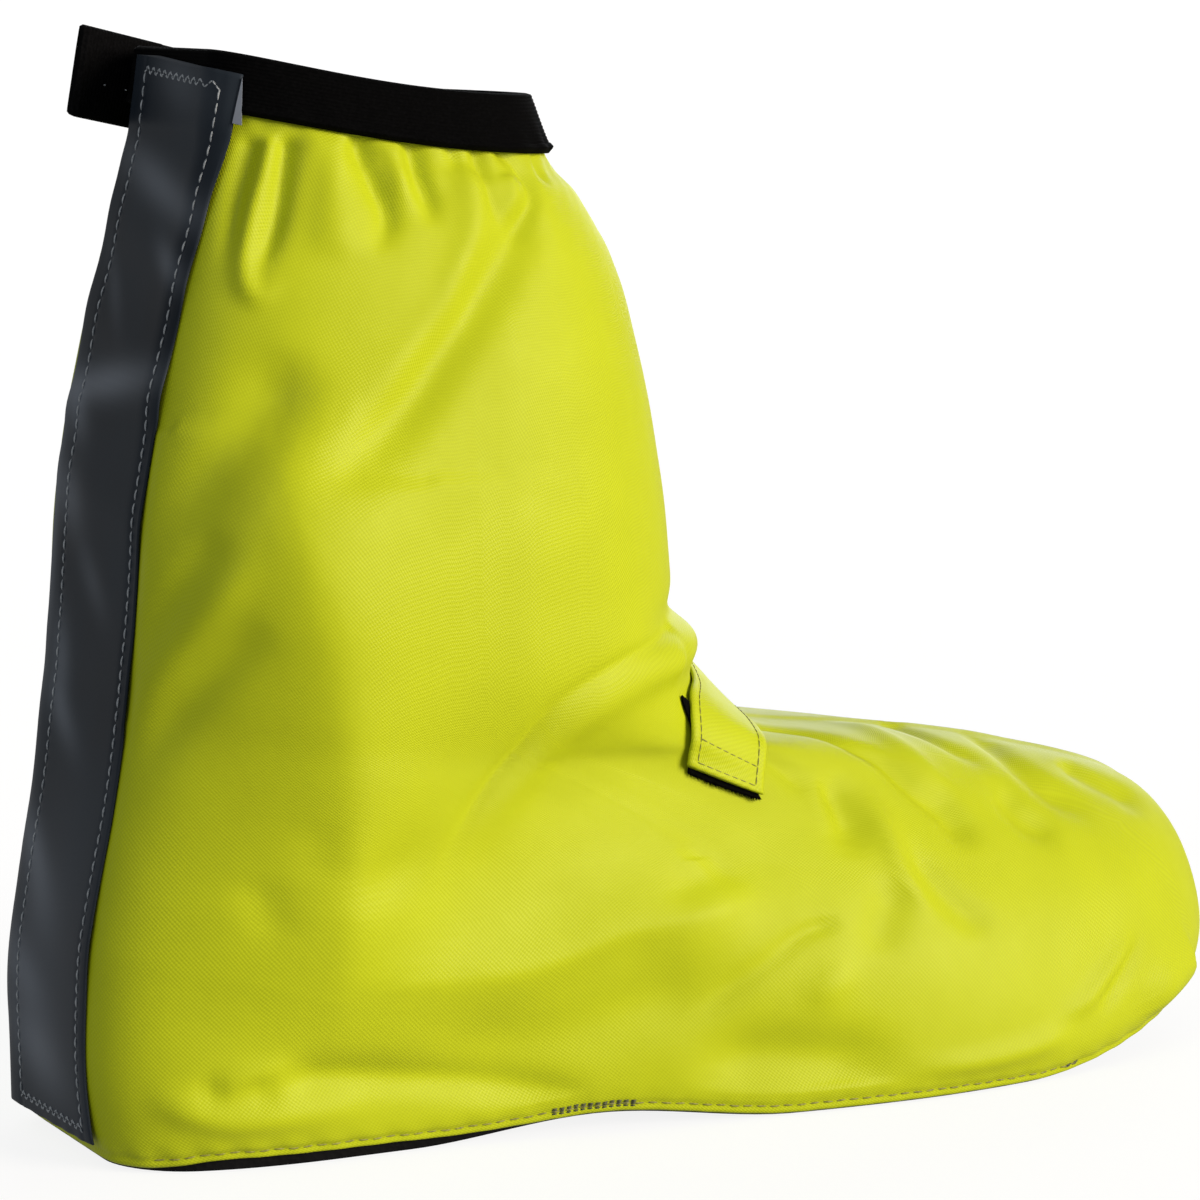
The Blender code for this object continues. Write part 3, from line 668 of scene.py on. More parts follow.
class Skin:
    """Outer surface of the fabric as a fine grid of points."""

    def __init__(self, levels, side_columns):
        loops = [loop_at(level, side_columns) for level in levels]
        self.levels = np.array(levels)
        self.side_columns = side_columns
        self.points = eased_rows(lowered_hem(np.array([loop[0] for loop in loops]), self.levels), self.levels)
        self.distances = np.array([loop[1] for loop in loops])
        self.fronts = np.array([loop[2] for loop in loops])
        self.totals = np.array([loop[3] for loop in loops])
        self.normals = grid_normals(self.points)
        self.lining = self.points - self.normals * WALL
        steps = np.linalg.norm(np.diff(self.points, axis=0), axis=2)
        self.heights = np.vstack([np.zeros(steps.shape[1]), np.cumsum(steps, axis=0)])

    def push_out(self, amount, folds):
        """Moves every point along its normal, and the lining behind it clear of the folds."""
        inside = np.minimum(around_least(folds, LINING_ROW_STEP, LINING_COLUMN_STEP), 0.0) - WALL
        self.lining = self.points + self.normals * inside[..., None]
        self.points = self.points + self.normals * amount[..., None]
        self.normals = grid_normals(self.points)

    def at(self, levels, distances):
        """Points and normals at levels and distances, read between the grid's points."""
        levels, distances = np.broadcast_arrays(np.asarray(levels, float), np.asarray(distances, float))
        rows = np.interp(levels, self.levels, np.arange(len(self.levels)))
        fronts = np.interp(levels, self.levels, self.fronts)
        totals = np.interp(levels, self.levels, self.totals)
        place = distances % totals
        share = np.where(place <= fronts, place / fronts, (place - fronts) / (totals - fronts))
        columns = np.interp(share, column_shares(self.side_columns), np.arange(self.side_columns + 1))
        columns = columns + np.where(place <= fronts, 0, self.side_columns)
        row = np.clip(np.floor(rows).astype(int), 0, len(self.levels) - 2)
        column = np.floor(columns).astype(int)
        across, up = (columns - column)[..., None], (rows - row)[..., None]
        count = 2 * self.side_columns

        def read(grid):
            low = grid[row, column % count] * (1 - across) + grid[row, (column + 1) % count] * across
            high = grid[row + 1, column % count] * (1 - across) + grid[row + 1, (column + 1) % count] * across
            return low * (1 - up) + high * up
        return read(self.points), unit(read(self.normals))

    def on_side(self, side, places):
        """Points of one side of the foot, at places along it and over the floor."""
        count = self.side_columns
        columns = slice(0, count + 1) if side == LATERAL else slice(count, 2 * count)
        points = self.points[:, columns].reshape(-1, 3)
        found = []
        for x, z in places:
            apart = (points[:, 0] - x) ** 2 + (points[:, 2] - z) ** 2
            near = points[np.argpartition(apart, CREASE_NEIGHBOURS)[:CREASE_NEIGHBOURS]]
            slopes = np.stack([np.ones(len(near)), near[:, 0] - x, near[:, 2] - z], axis=1)
            y = np.linalg.lstsq(slopes, near[:, 1], rcond=None)[0][0]
            found.append((x, np.clip(y, near[:, 1].min(), near[:, 1].max()), z))
        found = np.array(found)
        for _ in range(CREASE_EASING):
            found[1:-1, 1] = 0.25 * found[:-2, 1] + 0.5 * found[1:-1, 1] + 0.25 * found[2:, 1]
        return found


def run_through(places, step):
    """Close places on a smooth curve through a few given ones."""
    places = np.array(places, float)
    length = np.linalg.norm(np.diff(places, axis=0), axis=1).sum()
    steps = max(4, int(length / step))
    return np.array([through_rows(places, place) for place in np.linspace(0.0, len(places) - 1.0, steps)])


def crease(skin, run, half_width, height, sharpness, fade_in, fade_out):
    """How far one crease moves each point of the fabric."""
    amount = np.zeros(skin.points.shape[:2])
    low = run.min(axis=0) - CREASE_REACH * half_width
    high = run.max(axis=0) + CREASE_REACH * half_width
    near = ((skin.points > low) & (skin.points < high)).all(axis=2)
    apart = np.linalg.norm(skin.points[near][:, None] - run[None], axis=2)
    nearest = apart.argmin(axis=1)
    share = nearest / (len(run) - 1.0)
    fade = np.ones_like(share)
    if fade_in > 0:
        fade = fade * smooth(share / fade_in)
    if fade_out > 0:
        fade = fade * smooth((1.0 - share) / fade_out)
    distance = apart[np.arange(len(nearest)), nearest]
    amount[near] = height * fade * np.exp(-(distance / half_width) ** sharpness)
    return amount


def placed_creases(skin):
    """All creases that have a row of their own, on both sides."""
    amount = np.zeros(skin.points.shape[:2])
    for side, rows in ((LATERAL, LATERAL_CREASES), (MEDIAL, MEDIAL_CREASES)):
        for half_width, height, sharpness, fade_in, fade_out, places in rows:
            run = run_through(skin.on_side(side, run_through(places, CREASE_SEEK)), CREASE_STEP)
            amount += crease(skin, run, half_width, height, sharpness, fade_in, fade_out)
    return amount


def uneven_wave(distances, length, wander_length):
    """A wave on the way round a section, with a phase that wanders."""
    return np.sin(2 * np.pi * distances / length + WANDER * np.sin(distances / wander_length))


def loop_gathers(skin):
    """Gathers of the medial side and the front, at uneven spacing, and fine puckers all round the band."""
    amount = np.zeros(skin.points.shape[:2])
    _, along, front = outline(BAND_FOOT_LEVEL)
    medial = along[-1] - front
    first, last = (front + medial * (1.0 - share) for share in GATHER_SPAN)
    distance = last
    while distance < first:
        run_length = rng.uniform(*GATHER_RUN)
        lean = rng.uniform(*GATHER_LEAN)
        drop = np.linspace(0.0, run_length, GATHER_POINTS)
        levels = BAND_FOOT_LEVEL - drop / GATHER_LEVEL_HEIGHT
        run, _ = skin.at(levels, distance + lean * drop)
        run = run_through(run, CREASE_STEP)
        half_width = rng.uniform(*GATHER_WIDTH)
        depth = rng.uniform(*GATHER_DEPTH)
        amount += crease(skin, run, half_width, -depth, GATHER_SHARPNESS, 0.0, GATHER_FADE)
        distance += GATHER_SPACING * rng.uniform(*GATHER_UNEVENNESS)
    below = skin.heights[-1] - skin.heights
    wave = uneven_wave(skin.distances, PUCKER_LENGTH, PUCKER_WANDER_LENGTH)
    return amount + PUCKER_DEPTH * wave * np.exp(-below / PUCKER_FADE)


def slack_waves(skin):
    """Slow unevenness of the slack fabric."""
    amount = np.zeros(skin.points.shape[:2])
    flat = skin.points.reshape(-1, 3)
    for size, height in SLACK_WAVES:
        values = [noise.noise(Vector(point / size)) for point in flat]
        amount += height * np.array(values).reshape(amount.shape)
    return amount


def beside_tape(level, distances, front, total):
    """0 under the tape, rising to 1 beside it."""
    signed = np.where(distances > front, distances - total, distances)
    signed = signed - STRIP_TOP_SHIFT * level / STRIP_TOP
    outside = np.maximum(signed - STRIP_LATERAL_EDGE, STRIP_MEDIAL_EDGE - signed)
    return smooth(outside / STRIP_FADE + STRIP_FADE_START)


def hem_shape(skin):
    """Folded hem with its stitch groove and small puckers."""
    groove = -HEM_GROOVE * np.exp(-((skin.heights - HEM_STITCH_HEIGHT) / HEM_GROOVE_WIDTH) ** 2)
    fold = -HEM_ROUND * np.clip(1.0 - skin.heights / HEM_ROUND, 0.0, 1.0) ** 2
    wave = uneven_wave(skin.distances, HEM_PUCKER_LENGTH, HEM_WANDER_LENGTH)
    above = skin.heights - HEM_STITCH_HEIGHT - HEM_PUCKER_RISE
    return groove + fold + HEM_PUCKER_DEPTH * wave * np.exp(-(above / HEM_PUCKER_WIDTH) ** 2)


def front_seam(skin):
    """Raised seam where the two side panels meet at the front."""
    away = np.abs(skin.distances - skin.fronts[:, None])
    shown = smooth((skin.heights - SEAM_START) / SEAM_FADE)
    return SEAM_HEIGHT * np.exp(-(away / SEAM_WIDTH) ** 2) * shown


def held_down(skin, amount):
    """Keeps the fabric from rising into the band and the strap that lie on it."""
    level = skin.levels[:, None]
    room = np.where(level > HELD_LEVEL, HELD_ROOM * smooth((BAND_LEVELS[0] - level) / HELD_FADE), FOLD_LIMIT)
    back, front, low = STRAP_ZONE
    x, z = skin.points[..., 0], skin.points[..., 2]
    inside = smooth((x - back) / STRAP_ZONE_FADE) * smooth((front - x) / STRAP_ZONE_FADE)
    inside = inside * smooth((z - low) / STRAP_ZONE_FADE) * (level < STRAP_ZONE_LEVEL)
    under_strap = STRAP_ROOM + FOLD_LIMIT * (1.0 - inside)
    return np.minimum(np.minimum(amount, room), under_strap)


def make_skin():
    """The fabric's outer surface with all its folds, and its facets before they are folded."""
    levels = [first + (last - first) * step / rows for first, last, rows in ROW_SPANS for step in range(rows)]
    skin = Skin(levels + [ROW_SPANS[-1][1]], SIDE_COLUMNS)
    free = beside_tape(skin.levels[:, None], skin.distances, skin.fronts[:, None], skin.totals[:, None])
    folds = (placed_creases(skin) + loop_gathers(skin) + slack_waves(skin)) * free
    room_inside = RIM_ROOM + FOLD_LIMIT * smooth((skin.levels - SOLE_RIM_LEVEL) / RIM_FADE)
    folds = np.maximum(folds * smooth(skin.heights / HEM_FADE), -room_inside[:, None])
    amount = held_down(skin, folds + front_seam(skin)) + hem_shape(skin)
    tree = skin_tree(skin)
    skin.push_out(amount, folds)
    return skin, tree


def grid_faces(rows, columns, closed_rows, closed_round):
    """Quads of a grid numbered row by row, and the row and column of each corner before wrapping."""
    row, column = np.meshgrid(np.arange(rows if closed_rows else rows - 1),
                              np.arange(columns if closed_round else columns - 1), indexing="ij")
    steps = ((0, 0), (0, 1), (1, 1), (1, 0))
    corners = np.stack([np.stack([row + down, column + right], axis=-1) for down, right in steps], axis=2)
    corners = corners.reshape(-1, 4, 2)
    return (corners[..., 0] % rows) * columns + corners[..., 1] % columns, corners


def grid_lengths(points, closed_rows, closed_round):
    """Lengths along a grid's rows and up its columns, with one more of each where it closes."""
    wrapped = points
    if closed_round:
        wrapped = np.concatenate([wrapped, wrapped[:, :1]], axis=1)
    if closed_rows:
        wrapped = np.concatenate([wrapped, wrapped[:1]], axis=0)
    across = np.linalg.norm(np.diff(wrapped, axis=1), axis=2)
    up = np.linalg.norm(np.diff(wrapped, axis=0), axis=2)
    along = np.concatenate([np.zeros((wrapped.shape[0], 1)), np.cumsum(across, axis=1)], axis=1)
    rise = np.concatenate([np.zeros((1, wrapped.shape[1])), np.cumsum(up, axis=0)], axis=0)
    return np.stack([along, rise], axis=-1)


def add_object(name, data):
    """An object of some data, in the scene."""
    made = bpy.data.objects.new(name, data)
    bpy.context.scene.collection.objects.link(made)
    return made


def make_mesh(name, points, faces, corner_uv, materials, face_materials=None):
    """A mesh object from points in millimetres, with its map in millimetres."""
    mesh = bpy.data.meshes.new(name)
    moved = (np.asarray(points) - np.array(ORIGIN)) * MM
    mesh.from_pydata(moved.tolist(), [], [tuple(face) for face in faces])
    if corner_uv is not None:
        layer = mesh.uv_layers.new(name="cloth_mm")
        layer.data.foreach_set("uv", np.asarray(corner_uv, np.float32).ravel())
    for finish in materials:
        mesh.materials.append(finish)
    if face_materials is not None:
        mesh.polygons.foreach_set("material_index", np.asarray(face_materials, np.int32))
    mesh.shade_smooth()
    mesh.update()
    return add_object(name, mesh)


def finish_piece(piece, slot, *nodes):
    """Ties a piece to the part's body and hides the nodes it stands for. The slot is not used."""
    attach(piece, "root")
    if nodes:
        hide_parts(*nodes)


def ribbon(name, centre, normal, thickness, closed_along, materials, relief=None):
    """Flat band with rounded edges. Rows run along it, columns across, relief raises its outer face."""
    half = thickness / 2.0
    top = centre + normal * half
    if relief is not None:
        top = top + normal * relief[..., None]
    bottom = (centre - normal * half)[:, ::-1]
    first = unit(centre[:, 0] - centre[:, 1]) * half * RIBBON_EDGE + centre[:, 0]
    last = unit(centre[:, -1] - centre[:, -2]) * half * RIBBON_EDGE + centre[:, -1]
    loops = np.concatenate([top, last[:, None], bottom, first[:, None]], axis=1)
    rows, columns = loops.shape[:2]
    faces, corners = grid_faces(rows, columns, closed_along, True)
    lengths = grid_lengths(loops, closed_along, True)
    uv = lengths[corners[..., 0], corners[..., 1]]
    faces = [tuple(face) for face in faces]
    uv = list(uv.reshape(-1, 2))
    if not closed_along:
        across = centre.shape[1]
        for row, turned in ((0, True), (rows - 1, False)):
            start = row * columns
            caps = [(start + k, start + k + 1, start + 2 * across - 1 - k, start + 2 * across - k)
                    for k in range(across - 1)]
            caps.append((start + across - 1, start + across, start + across + 1))
            caps.append((start, start + 2 * across, start + columns - 1))
            for cap in caps:
                faces.append(cap[::-1] if turned else cap)
                uv += [lengths[row, corner - start] for corner in faces[-1]]
    piece = make_mesh(name, loops.reshape(-1, 3), faces, uv, materials)
    face_out(piece)
    return piece


def face_out(piece):
    """Turns all faces of a closed piece outward."""
    body = bmesh.new()
    body.from_mesh(piece.data)
    bmesh.ops.recalc_face_normals(body, faces=body.faces)
    body.to_mesh(piece.data)
    body.free()


def upper_piece(skin, fabric, lining):
    """Fabric wall: outer surface up, lining down inside, closed at hem and collar."""
    inner_rows = list(range(0, len(skin.levels), LINING_ROW_STEP))
    if inner_rows[-1] != len(skin.levels) - 1:
        inner_rows.append(len(skin.levels) - 1)
    inner = skin.lining[inner_rows][::-1]
    loops = np.concatenate([skin.points, inner], axis=0)
    rows, columns = loops.shape[:2]
    faces, corners = grid_faces(rows, columns, True, True)
    rise = grid_lengths(loops, True, True)[..., 1]
    distances = np.concatenate([skin.distances, skin.distances[inner_rows][::-1], skin.distances[:1]], axis=0)
    totals = np.concatenate([skin.totals, skin.totals[inner_rows][::-1], skin.totals[:1]])
    round_length = np.concatenate([distances, totals[:, None]], axis=1)
    medial_face = corners[:, :, 1].min(axis=1) >= skin.side_columns
    u = round_length[corners[..., 0], corners[..., 1]]
    u = u - np.where(medial_face[:, None], totals[corners[..., 0]], 0.0)
    uv = np.stack([u, rise[corners[..., 0], corners[..., 1]]], axis=-1)
    inside = (corners[:, :, 0].min(axis=1) >= len(skin.levels) - 1).astype(int)
    points = loops.reshape(-1, 3)
    piece = make_mesh("upper_fabric", points, faces, uv.reshape(-1, 2), (fabric, lining), inside)
    finish_piece(piece, "yellow_fabric", "upper")


def offset_loop(level, out, count):
    """A section's loop moved out from the outer surface, without folds."""
    loop = loop_at(level, count)[0]
    above, below = loop_at(level + LEVEL_STEP, count)[0], loop_at(level - LEVEL_STEP, count)[0]
    along = np.roll(loop, -1, axis=0) - np.roll(loop, 1, axis=0)
    return loop + out * unit(np.cross(along, above - below))


def over_underside(loop, inset, rise):
    """A loop pulled in towards the foot's middle line and set a rise over the underside."""
    moved = loop.copy()
    moved[:, 1] -= inset * np.sign(loop[:, 1])
    moved[:, 2] = underside(moved[:, 0]) + rise
    return moved


def across_sole(loop, rise):
    """Grid from a loop's lateral to its medial side, over the underside."""
    count = len(loop) // 2
    lateral = loop[1:count]
    medial = loop[:count:-1]
    share = np.linspace(0.0, 1.0, SOLE_STRIPS + 1)[None, :, None]
    grid = lateral[:, None] * (1 - share) + medial[:, None] * share
    grid[:, 1:-1, 2] = underside(grid[:, 1:-1, 0]) + rise
    return grid


def sole_piece(rubber):
    """Shallow tray inside the hem: plate over the underside and a rim up the inside of the upper."""
    outside = -(WALL + GAP)
    inside = outside - SOLE_RIM
    hem = offset_loop(0.0, outside, SOLE_COLUMNS)
    inner_hem = offset_loop(0.0, inside, SOLE_COLUMNS)
    rim_levels = np.linspace(SOLE_RIM_START, SOLE_RIM_LEVEL, SOLE_RIM_ROWS)
    edge = ((SOLE_EDGE, 0.0), (SOLE_ROUND, SOLE_ROUND), (0.0, SOLE_EDGE))
    loops = [over_underside(hem, inset, rise) for inset, rise in edge]
    loops.append(hem)
    loops += [offset_loop(level, outside, SOLE_COLUMNS) for level in rim_levels]
    loops += [offset_loop(level, inside, SOLE_COLUMNS) for level in rim_levels[::-1]]
    loops.append(over_underside(inner_hem, 0.0, SOLE_PLATE))
    loops = np.array(loops)
    rows, columns = loops.shape[:2]
    faces, _ = grid_faces(rows, columns, False, True)
    points = list(loops.reshape(-1, 3))
    faces = [tuple(face) for face in faces]
    for row, rise in ((0, 0.0), (rows - 1, SOLE_PLATE)):
        start = row * columns
        half = columns // 2
        grid = across_sole(loops[row], rise)
        ids = np.zeros(grid.shape[:2], int)
        ids[:, 0] = start + np.arange(1, half)
        ids[:, -1] = start + np.arange(columns - 1, half, -1)
        ids[:, 1:-1] = len(points) + np.arange(grid[:, 1:-1, 0].size).reshape(grid.shape[0], -1)
        points += list(grid[:, 1:-1].reshape(-1, 3))
        for near, far in zip(ids[:-1], ids[1:]):
            faces += [(near[k], near[k + 1], far[k + 1], far[k]) for k in range(SOLE_STRIPS)]
        for tip, line in ((start, ids[0]), (start + half, ids[-1])):
            faces += [(tip, line[k], line[k + 1]) for k in range(SOLE_STRIPS)]
    points = np.array(points)
    flat = points[np.concatenate([np.array(face) for face in faces])][:, :2]
    piece = make_mesh("sole_panel", points, faces, flat, (rubber,))
    face_out(piece)
    finish_piece(piece, "black_sole", "sole")


def band_piece(elastic):
    """Elastic ring with fine ribs along it and a stitched lip at its lower edge."""
    rows = BAND_RIBS * BAND_RIB_POINTS
    shares = np.linspace(0.0, 1.0, rows + 1)
    levels = BAND_LEVELS[0] + (BAND_LEVELS[1] - BAND_LEVELS[0]) * shares
    centre = []
    normals = []
    for level in levels:
        on = offset_loop(level, GAP + BAND_THICKNESS / 2, BAND_COLUMNS // 2)
        base = loop_at(level, BAND_COLUMNS // 2)[0]
        centre.append(on)
        normals.append(unit(on - base))
    centre = np.array(centre).transpose(1, 0, 2)
    normals = np.array(normals).transpose(1, 0, 2)
    ribs = BAND_RIB_HEIGHT * (0.5 - 0.5 * np.cos(2 * np.pi * shares * BAND_RIBS))
    lip = BAND_LIP * smooth(1.0 - np.abs(shares - BAND_LIP_SHARE / 2) / BAND_LIP_SHARE)
    turn = np.linspace(0.0, 2 * np.pi, BAND_COLUMNS, endpoint=False)[:, None]
    wave = BAND_WAVE * np.sin(turn * BAND_WAVES + np.sin(turn * BAND_WAVE_WANDERS)) * (1.0 - shares) ** 2
    lower_edge = loop_at(BAND_LEVELS[0], BAND_COLUMNS // 2)[1:]
    relief = ribs + (lip + wave) * beside_tape(BAND_LEVELS[0], *lower_edge)[:, None]
    piece = ribbon("collar_elastic", centre, normals, BAND_THICKNESS, True, (elastic,), relief)
    finish_piece(piece, "black_elastic", "collar_band")


def strip_grid(skin, shares_across):
    """Places of the tape: points of its inner face, outward directions, and lengths across it."""
    shares = np.asarray(shares_across)[None, :]
    run = np.linspace(0.0, 1.0, STRIP_ROWS)[:, None]
    levels = STRIP_BOTTOM + (STRIP_TOP - STRIP_BOTTOM) * run
    levels = levels + STRIP_TOP_SKEW * (0.5 - shares) * run ** STRIP_SKEW_POWER
    first, last, narrower = STRIP_NARROWING
    lean = STRIP_TOP_SHIFT * levels / STRIP_TOP
    medial = STRIP_MEDIAL_EDGE + lean + narrower * smooth((levels - first) / (last - first))
    lateral = STRIP_LATERAL_EDGE + lean
    places = medial + (lateral - medial) * shares
    points, _ = skin.at(levels, places)
    straight, normals = skin.at(np.maximum(levels, STRIP_STRAIGHT_LEVEL), places)
    hang = STRIP_HANG[0] + (STRIP_HANG[1] - STRIP_HANG[0]) * shares[..., None]
    points[..., :2] += (straight - points)[..., :2] * hang
    lift = STRIP_GAP + BAND_OUT * smooth((levels - STRIP_RAMP[0]) / (STRIP_RAMP[1] - STRIP_RAMP[0]))
    for medial_height, lateral_height, half_width, height in STRIP_BENDS:
        away = points[..., 2] - (medial_height + (lateral_height - medial_height) * shares)
        lift = lift + max(height, 0.0) * np.exp(-(away / half_width) ** 2)
        lift = lift + min(height, 0.0) * np.exp(-(away / half_width) ** 2) * STRIP_GAP
    return points + normals * lift[..., None], normals, places


def tape_lines(places):
    """Distances round from the back's centre of the tape's two lines of stitches, row by row."""
    medial_inset = np.linspace(*STRIP_MEDIAL_INSET, len(places))
    return places[:, 0] + medial_inset, places[:, -1] - STRIP_LATERAL_INSET


def strip_piece(skin, tape):
    """Reflective tape down the back, with a groove under each line of stitches."""
    shares = np.linspace(0.0, 1.0, STRIP_COLUMNS)
    points, normals, places = strip_grid(skin, shares)
    relief = np.zeros(places.shape)
    for line in tape_lines(places):
        relief -= STRIP_GROOVE * np.exp(-((places - line[:, None]) / STRIP_GROOVE_WIDTH) ** 2)
    centre = points + normals * STRIP_THICKNESS / 2
    piece = ribbon("reflective_tape", centre, normals, STRIP_THICKNESS, False, (tape,), relief)
    # Paler spots of painted sheen on the tape
    add_painted_sheen(piece.data)
    finish_piece(piece, "grey_tape", "reflective_strip")


def add_painted_sheen(mesh):
    """Strength of the tape's painted sheen, reflected light painted into its colour, as a value at each
    point.
    """
    places = np.empty(len(mesh.vertices) * 3)
    mesh.vertices.foreach_get("co", places)
    places = places.reshape(-1, 3) / MM + np.array(ORIGIN)
    light = np.zeros(len(places))
    for height, side, half_height, half_width, rise, strength in TAPE_PAINTED_SHEEN:
        across = places[:, 1] - side
        above = places[:, 2] - height - rise * across
        light += strength * np.exp(-(above / half_height) ** 2 - (across / half_width) ** 2)
    # The "satin" value is the strength of painted sheen at each point
    mesh.attributes.new("satin", "FLOAT", "POINT").data.foreach_set("value", light)


def tape_stitch_runs(skin):
    """Two lines along the tape, and a zigzag across it at its top and bottom."""
    points, normals, places = strip_grid(skin, np.linspace(0.0, 1.0, STRIP_COLUMNS))
    face = points + normals * STRIP_THICKNESS
    medial, lateral = tape_lines(places)

    def on_row(grid, row, place):
        return points_at(place, places[row], grid[row])
    lines = []
    for line in (medial, lateral):
        rows = range(*STRIP_STITCH_ROWS)
        lines.append((np.array([on_row(face, row, line[row]) for row in rows]),
                      np.array([on_row(normals, row, line[row]) for row in rows])))
    zigzag = []
    for near, far in ZIGZAG_ROWS:
        steps = np.linspace(medial[near], lateral[near], ZIGZAG_STEPS + 1)
        for step in range(ZIGZAG_STEPS):
            rows = (near, far) if step % 2 == 0 else (far, near)
            ends = list(zip(rows, steps[step:step + 2]))
            zigzag.append((np.array([on_row(face, *place) for place in ends]),
                           np.array([on_row(normals, *place) for place in ends])))
    return lines, zigzag


def tape_corner(skin, tape_back):
    """Pale back of the tape, showing where its upper lateral corner is turned."""
    points, normals, _ = strip_grid(skin, (1.0,))
    top, low = points[-2, 0], points[-2 - CORNER_ROWS, 0]
    out = normals[-2, 0]
    side = unit(np.cross(top - low, out))
    if side[1] > 0:
        side = -side
    corners = np.array([top + side * CORNER_TIP, low, low + side * CORNER_WIDTH])
    front = corners + out * CORNER_DEPTH
    faces = [(0, 1, 2), (3, 5, 4), (0, 3, 4, 1), (1, 4, 5, 2), (2, 5, 3, 0)]
    piece = make_mesh("tape_corner", np.vstack([corners, front]), faces, None, (tape_back,))
    face_out(piece)
    piece.data.shade_flat()
    finish_piece(piece, "grey_tape")


def skin_tree(skin):
    """Facets of the fabric round the instep, for finding where a line leaves the foot."""
    rows = np.flatnonzero((skin.levels >= STRAP_LEVELS[0]) & (skin.levels <= STRAP_LEVELS[1]))
    points = skin.points[rows]
    faces, _ = grid_faces(len(rows), points.shape[1], False, True)
    return BVHTree.FromPolygons([tuple(point) for point in points.reshape(-1, 3)], faces.tolist())


def strap_grid(tree, rows, stations, across, bridges):
    """Places of a flat piece laid round the instep, on its inner face, and its outward directions."""
    rows = np.array(rows)
    points = []
    ways_out = []
    for place in np.linspace(0.0, len(rows) - 1.0, stations):
        line = dict(zip(STRAP_COLUMNS, through_rows(rows, place)))
        share = np.linspace(0.0, 1.0, across)
        xs = line["back_x"] + (line["front_x"] - line["back_x"]) * share
        turns = np.radians(line["back_turn"] + (line["front_turn"] - line["back_turn"]) * share)
        ways = np.stack([np.zeros_like(turns), -np.sin(turns), np.cos(turns)], axis=1)
        reach = np.array([tree.ray_cast(Vector((x, 0.0, STRAP_AXIS_Z)), Vector(way))[3]
                          for x, way in zip(xs, ways)])
        if bridges:
            reach = np.maximum(reach, reach[0] + (reach[-1] - reach[0]) * share)
        axis = np.stack([xs, np.zeros_like(xs), np.full_like(xs, STRAP_AXIS_Z)], axis=1)
        points.append(axis + ways * (reach + line["lift"])[:, None])
        ways_out.append(ways)
    return np.array(points), np.array(ways_out)


def soften(points, passes):
    """Evens out small unevenness of a grid, keeping its border."""
    for _ in range(passes):
        middle = points[1:-1, 1:-1]
        around = points[:-2, 1:-1] + points[2:, 1:-1] + points[1:-1, :-2] + points[1:-1, 2:]
        points = points.copy()
        points[1:-1, 1:-1] = 0.5 * middle + 0.125 * around
    return points


def strap_piece(tree, cloth):
    """Folded fabric strap over the instep."""
    points, ways = strap_grid(tree, STRAP_ROWS, STRAP_STATIONS, STRAP_ACROSS, True)
    points = soften(points, STRAP_EASING)
    share = np.abs(np.linspace(-1.0, 1.0, STRAP_ACROSS))
    relief = np.zeros((STRAP_STATIONS, STRAP_ACROSS))
    for height, place, half_width in STRAP_RELIEF:
        relief += height * np.exp(-((share - place) / half_width) ** 2)
    centre = points + ways * STRAP_THICKNESS / 2
    piece = ribbon("strap", centre, ways, STRAP_THICKNESS, False, (cloth,), relief)
    finish_piece(piece, "yellow_strap", "instep_strap")
    return centre + ways * STRAP_THICKNESS / 2, ways


def tab_place(level, along, out):
    """Point on the tab's path: on the band's side first, then straight on behind it."""
    on_band = TAB_LEAVE - TAB_START
    distance = min(TAB_START + along, TAB_LEAVE)
    points, lengths, _ = outline(level)

    def at(place, loop=points, measure=lengths):
        return points_at(place % measure[-1], measure, loop)
    point = at(distance)
    ahead = unit(at(distance + TAB_REACH) - at(distance - TAB_REACH))
    upper_points, upper_lengths, _ = outline(level + LEVEL_STEP)
    lower_points, lower_lengths, _ = outline(level - LEVEL_STEP)
    up = at(distance, upper_points, upper_lengths) - at(distance, lower_points, lower_lengths)
    normal = unit(np.cross(ahead, up))
    if along > on_band:
        way = unit(point - at(TAB_LEAVE - TAB_REACH))
        point = point + way * (along - on_band)
    return point + normal * out


def tab_piece(webbing):
    """Webbing: out along the band, round a fold behind the collar and part of the way back."""
    length = TAB_LEAVE - TAB_START + TAB_TAIL
    near = BAND_OUT + GAP + TAB_THICKNESS / 2
    radius = (TAB_THICKNESS + TAB_SLOT) / 2
    path = [(along, near) for along in np.arange(0.0, length, TAB_STEP)]
    path += [(length + radius * np.sin(turn), near + radius * (1.0 - np.cos(turn)))
             for turn in np.linspace(0.0, np.pi, TAB_FOLD_POINTS)]
    path += [(along, near + 2.0 * radius) for along in np.arange(length, length - TAB_RETURN, -TAB_STEP)[1:]]
    levels = np.linspace(*TAB_LEVELS, TAB_ROWS)
    centre = np.array([[tab_place(level, along, out) for level in levels] for along, out in path])
    ahead = np.gradient(centre, axis=0)
    across = np.gradient(centre, axis=1)
    normals = unit(np.cross(ahead, across))
    run = lengths_along(centre[:, 0])
    ribs = TAB_RIB_HEIGHT * np.sin(2 * np.pi * run / TAB_RIB_LENGTH)
    centre = centre + normals * ribs[:, None, None]
    piece = ribbon("collar_webbing", centre, normals, TAB_THICKNESS, False, (webbing,))
    finish_piece(piece, "black_webbing", "collar_tab")
    tail = slice(int((TAB_LEAVE - TAB_START) / TAB_STEP), int(length / TAB_STEP))
    row = int(TAB_ROWS * TAB_MARK_SHARE)
    return (centre - normals * TAB_THICKNESS / 2)[tail, row], -normals[tail, row]


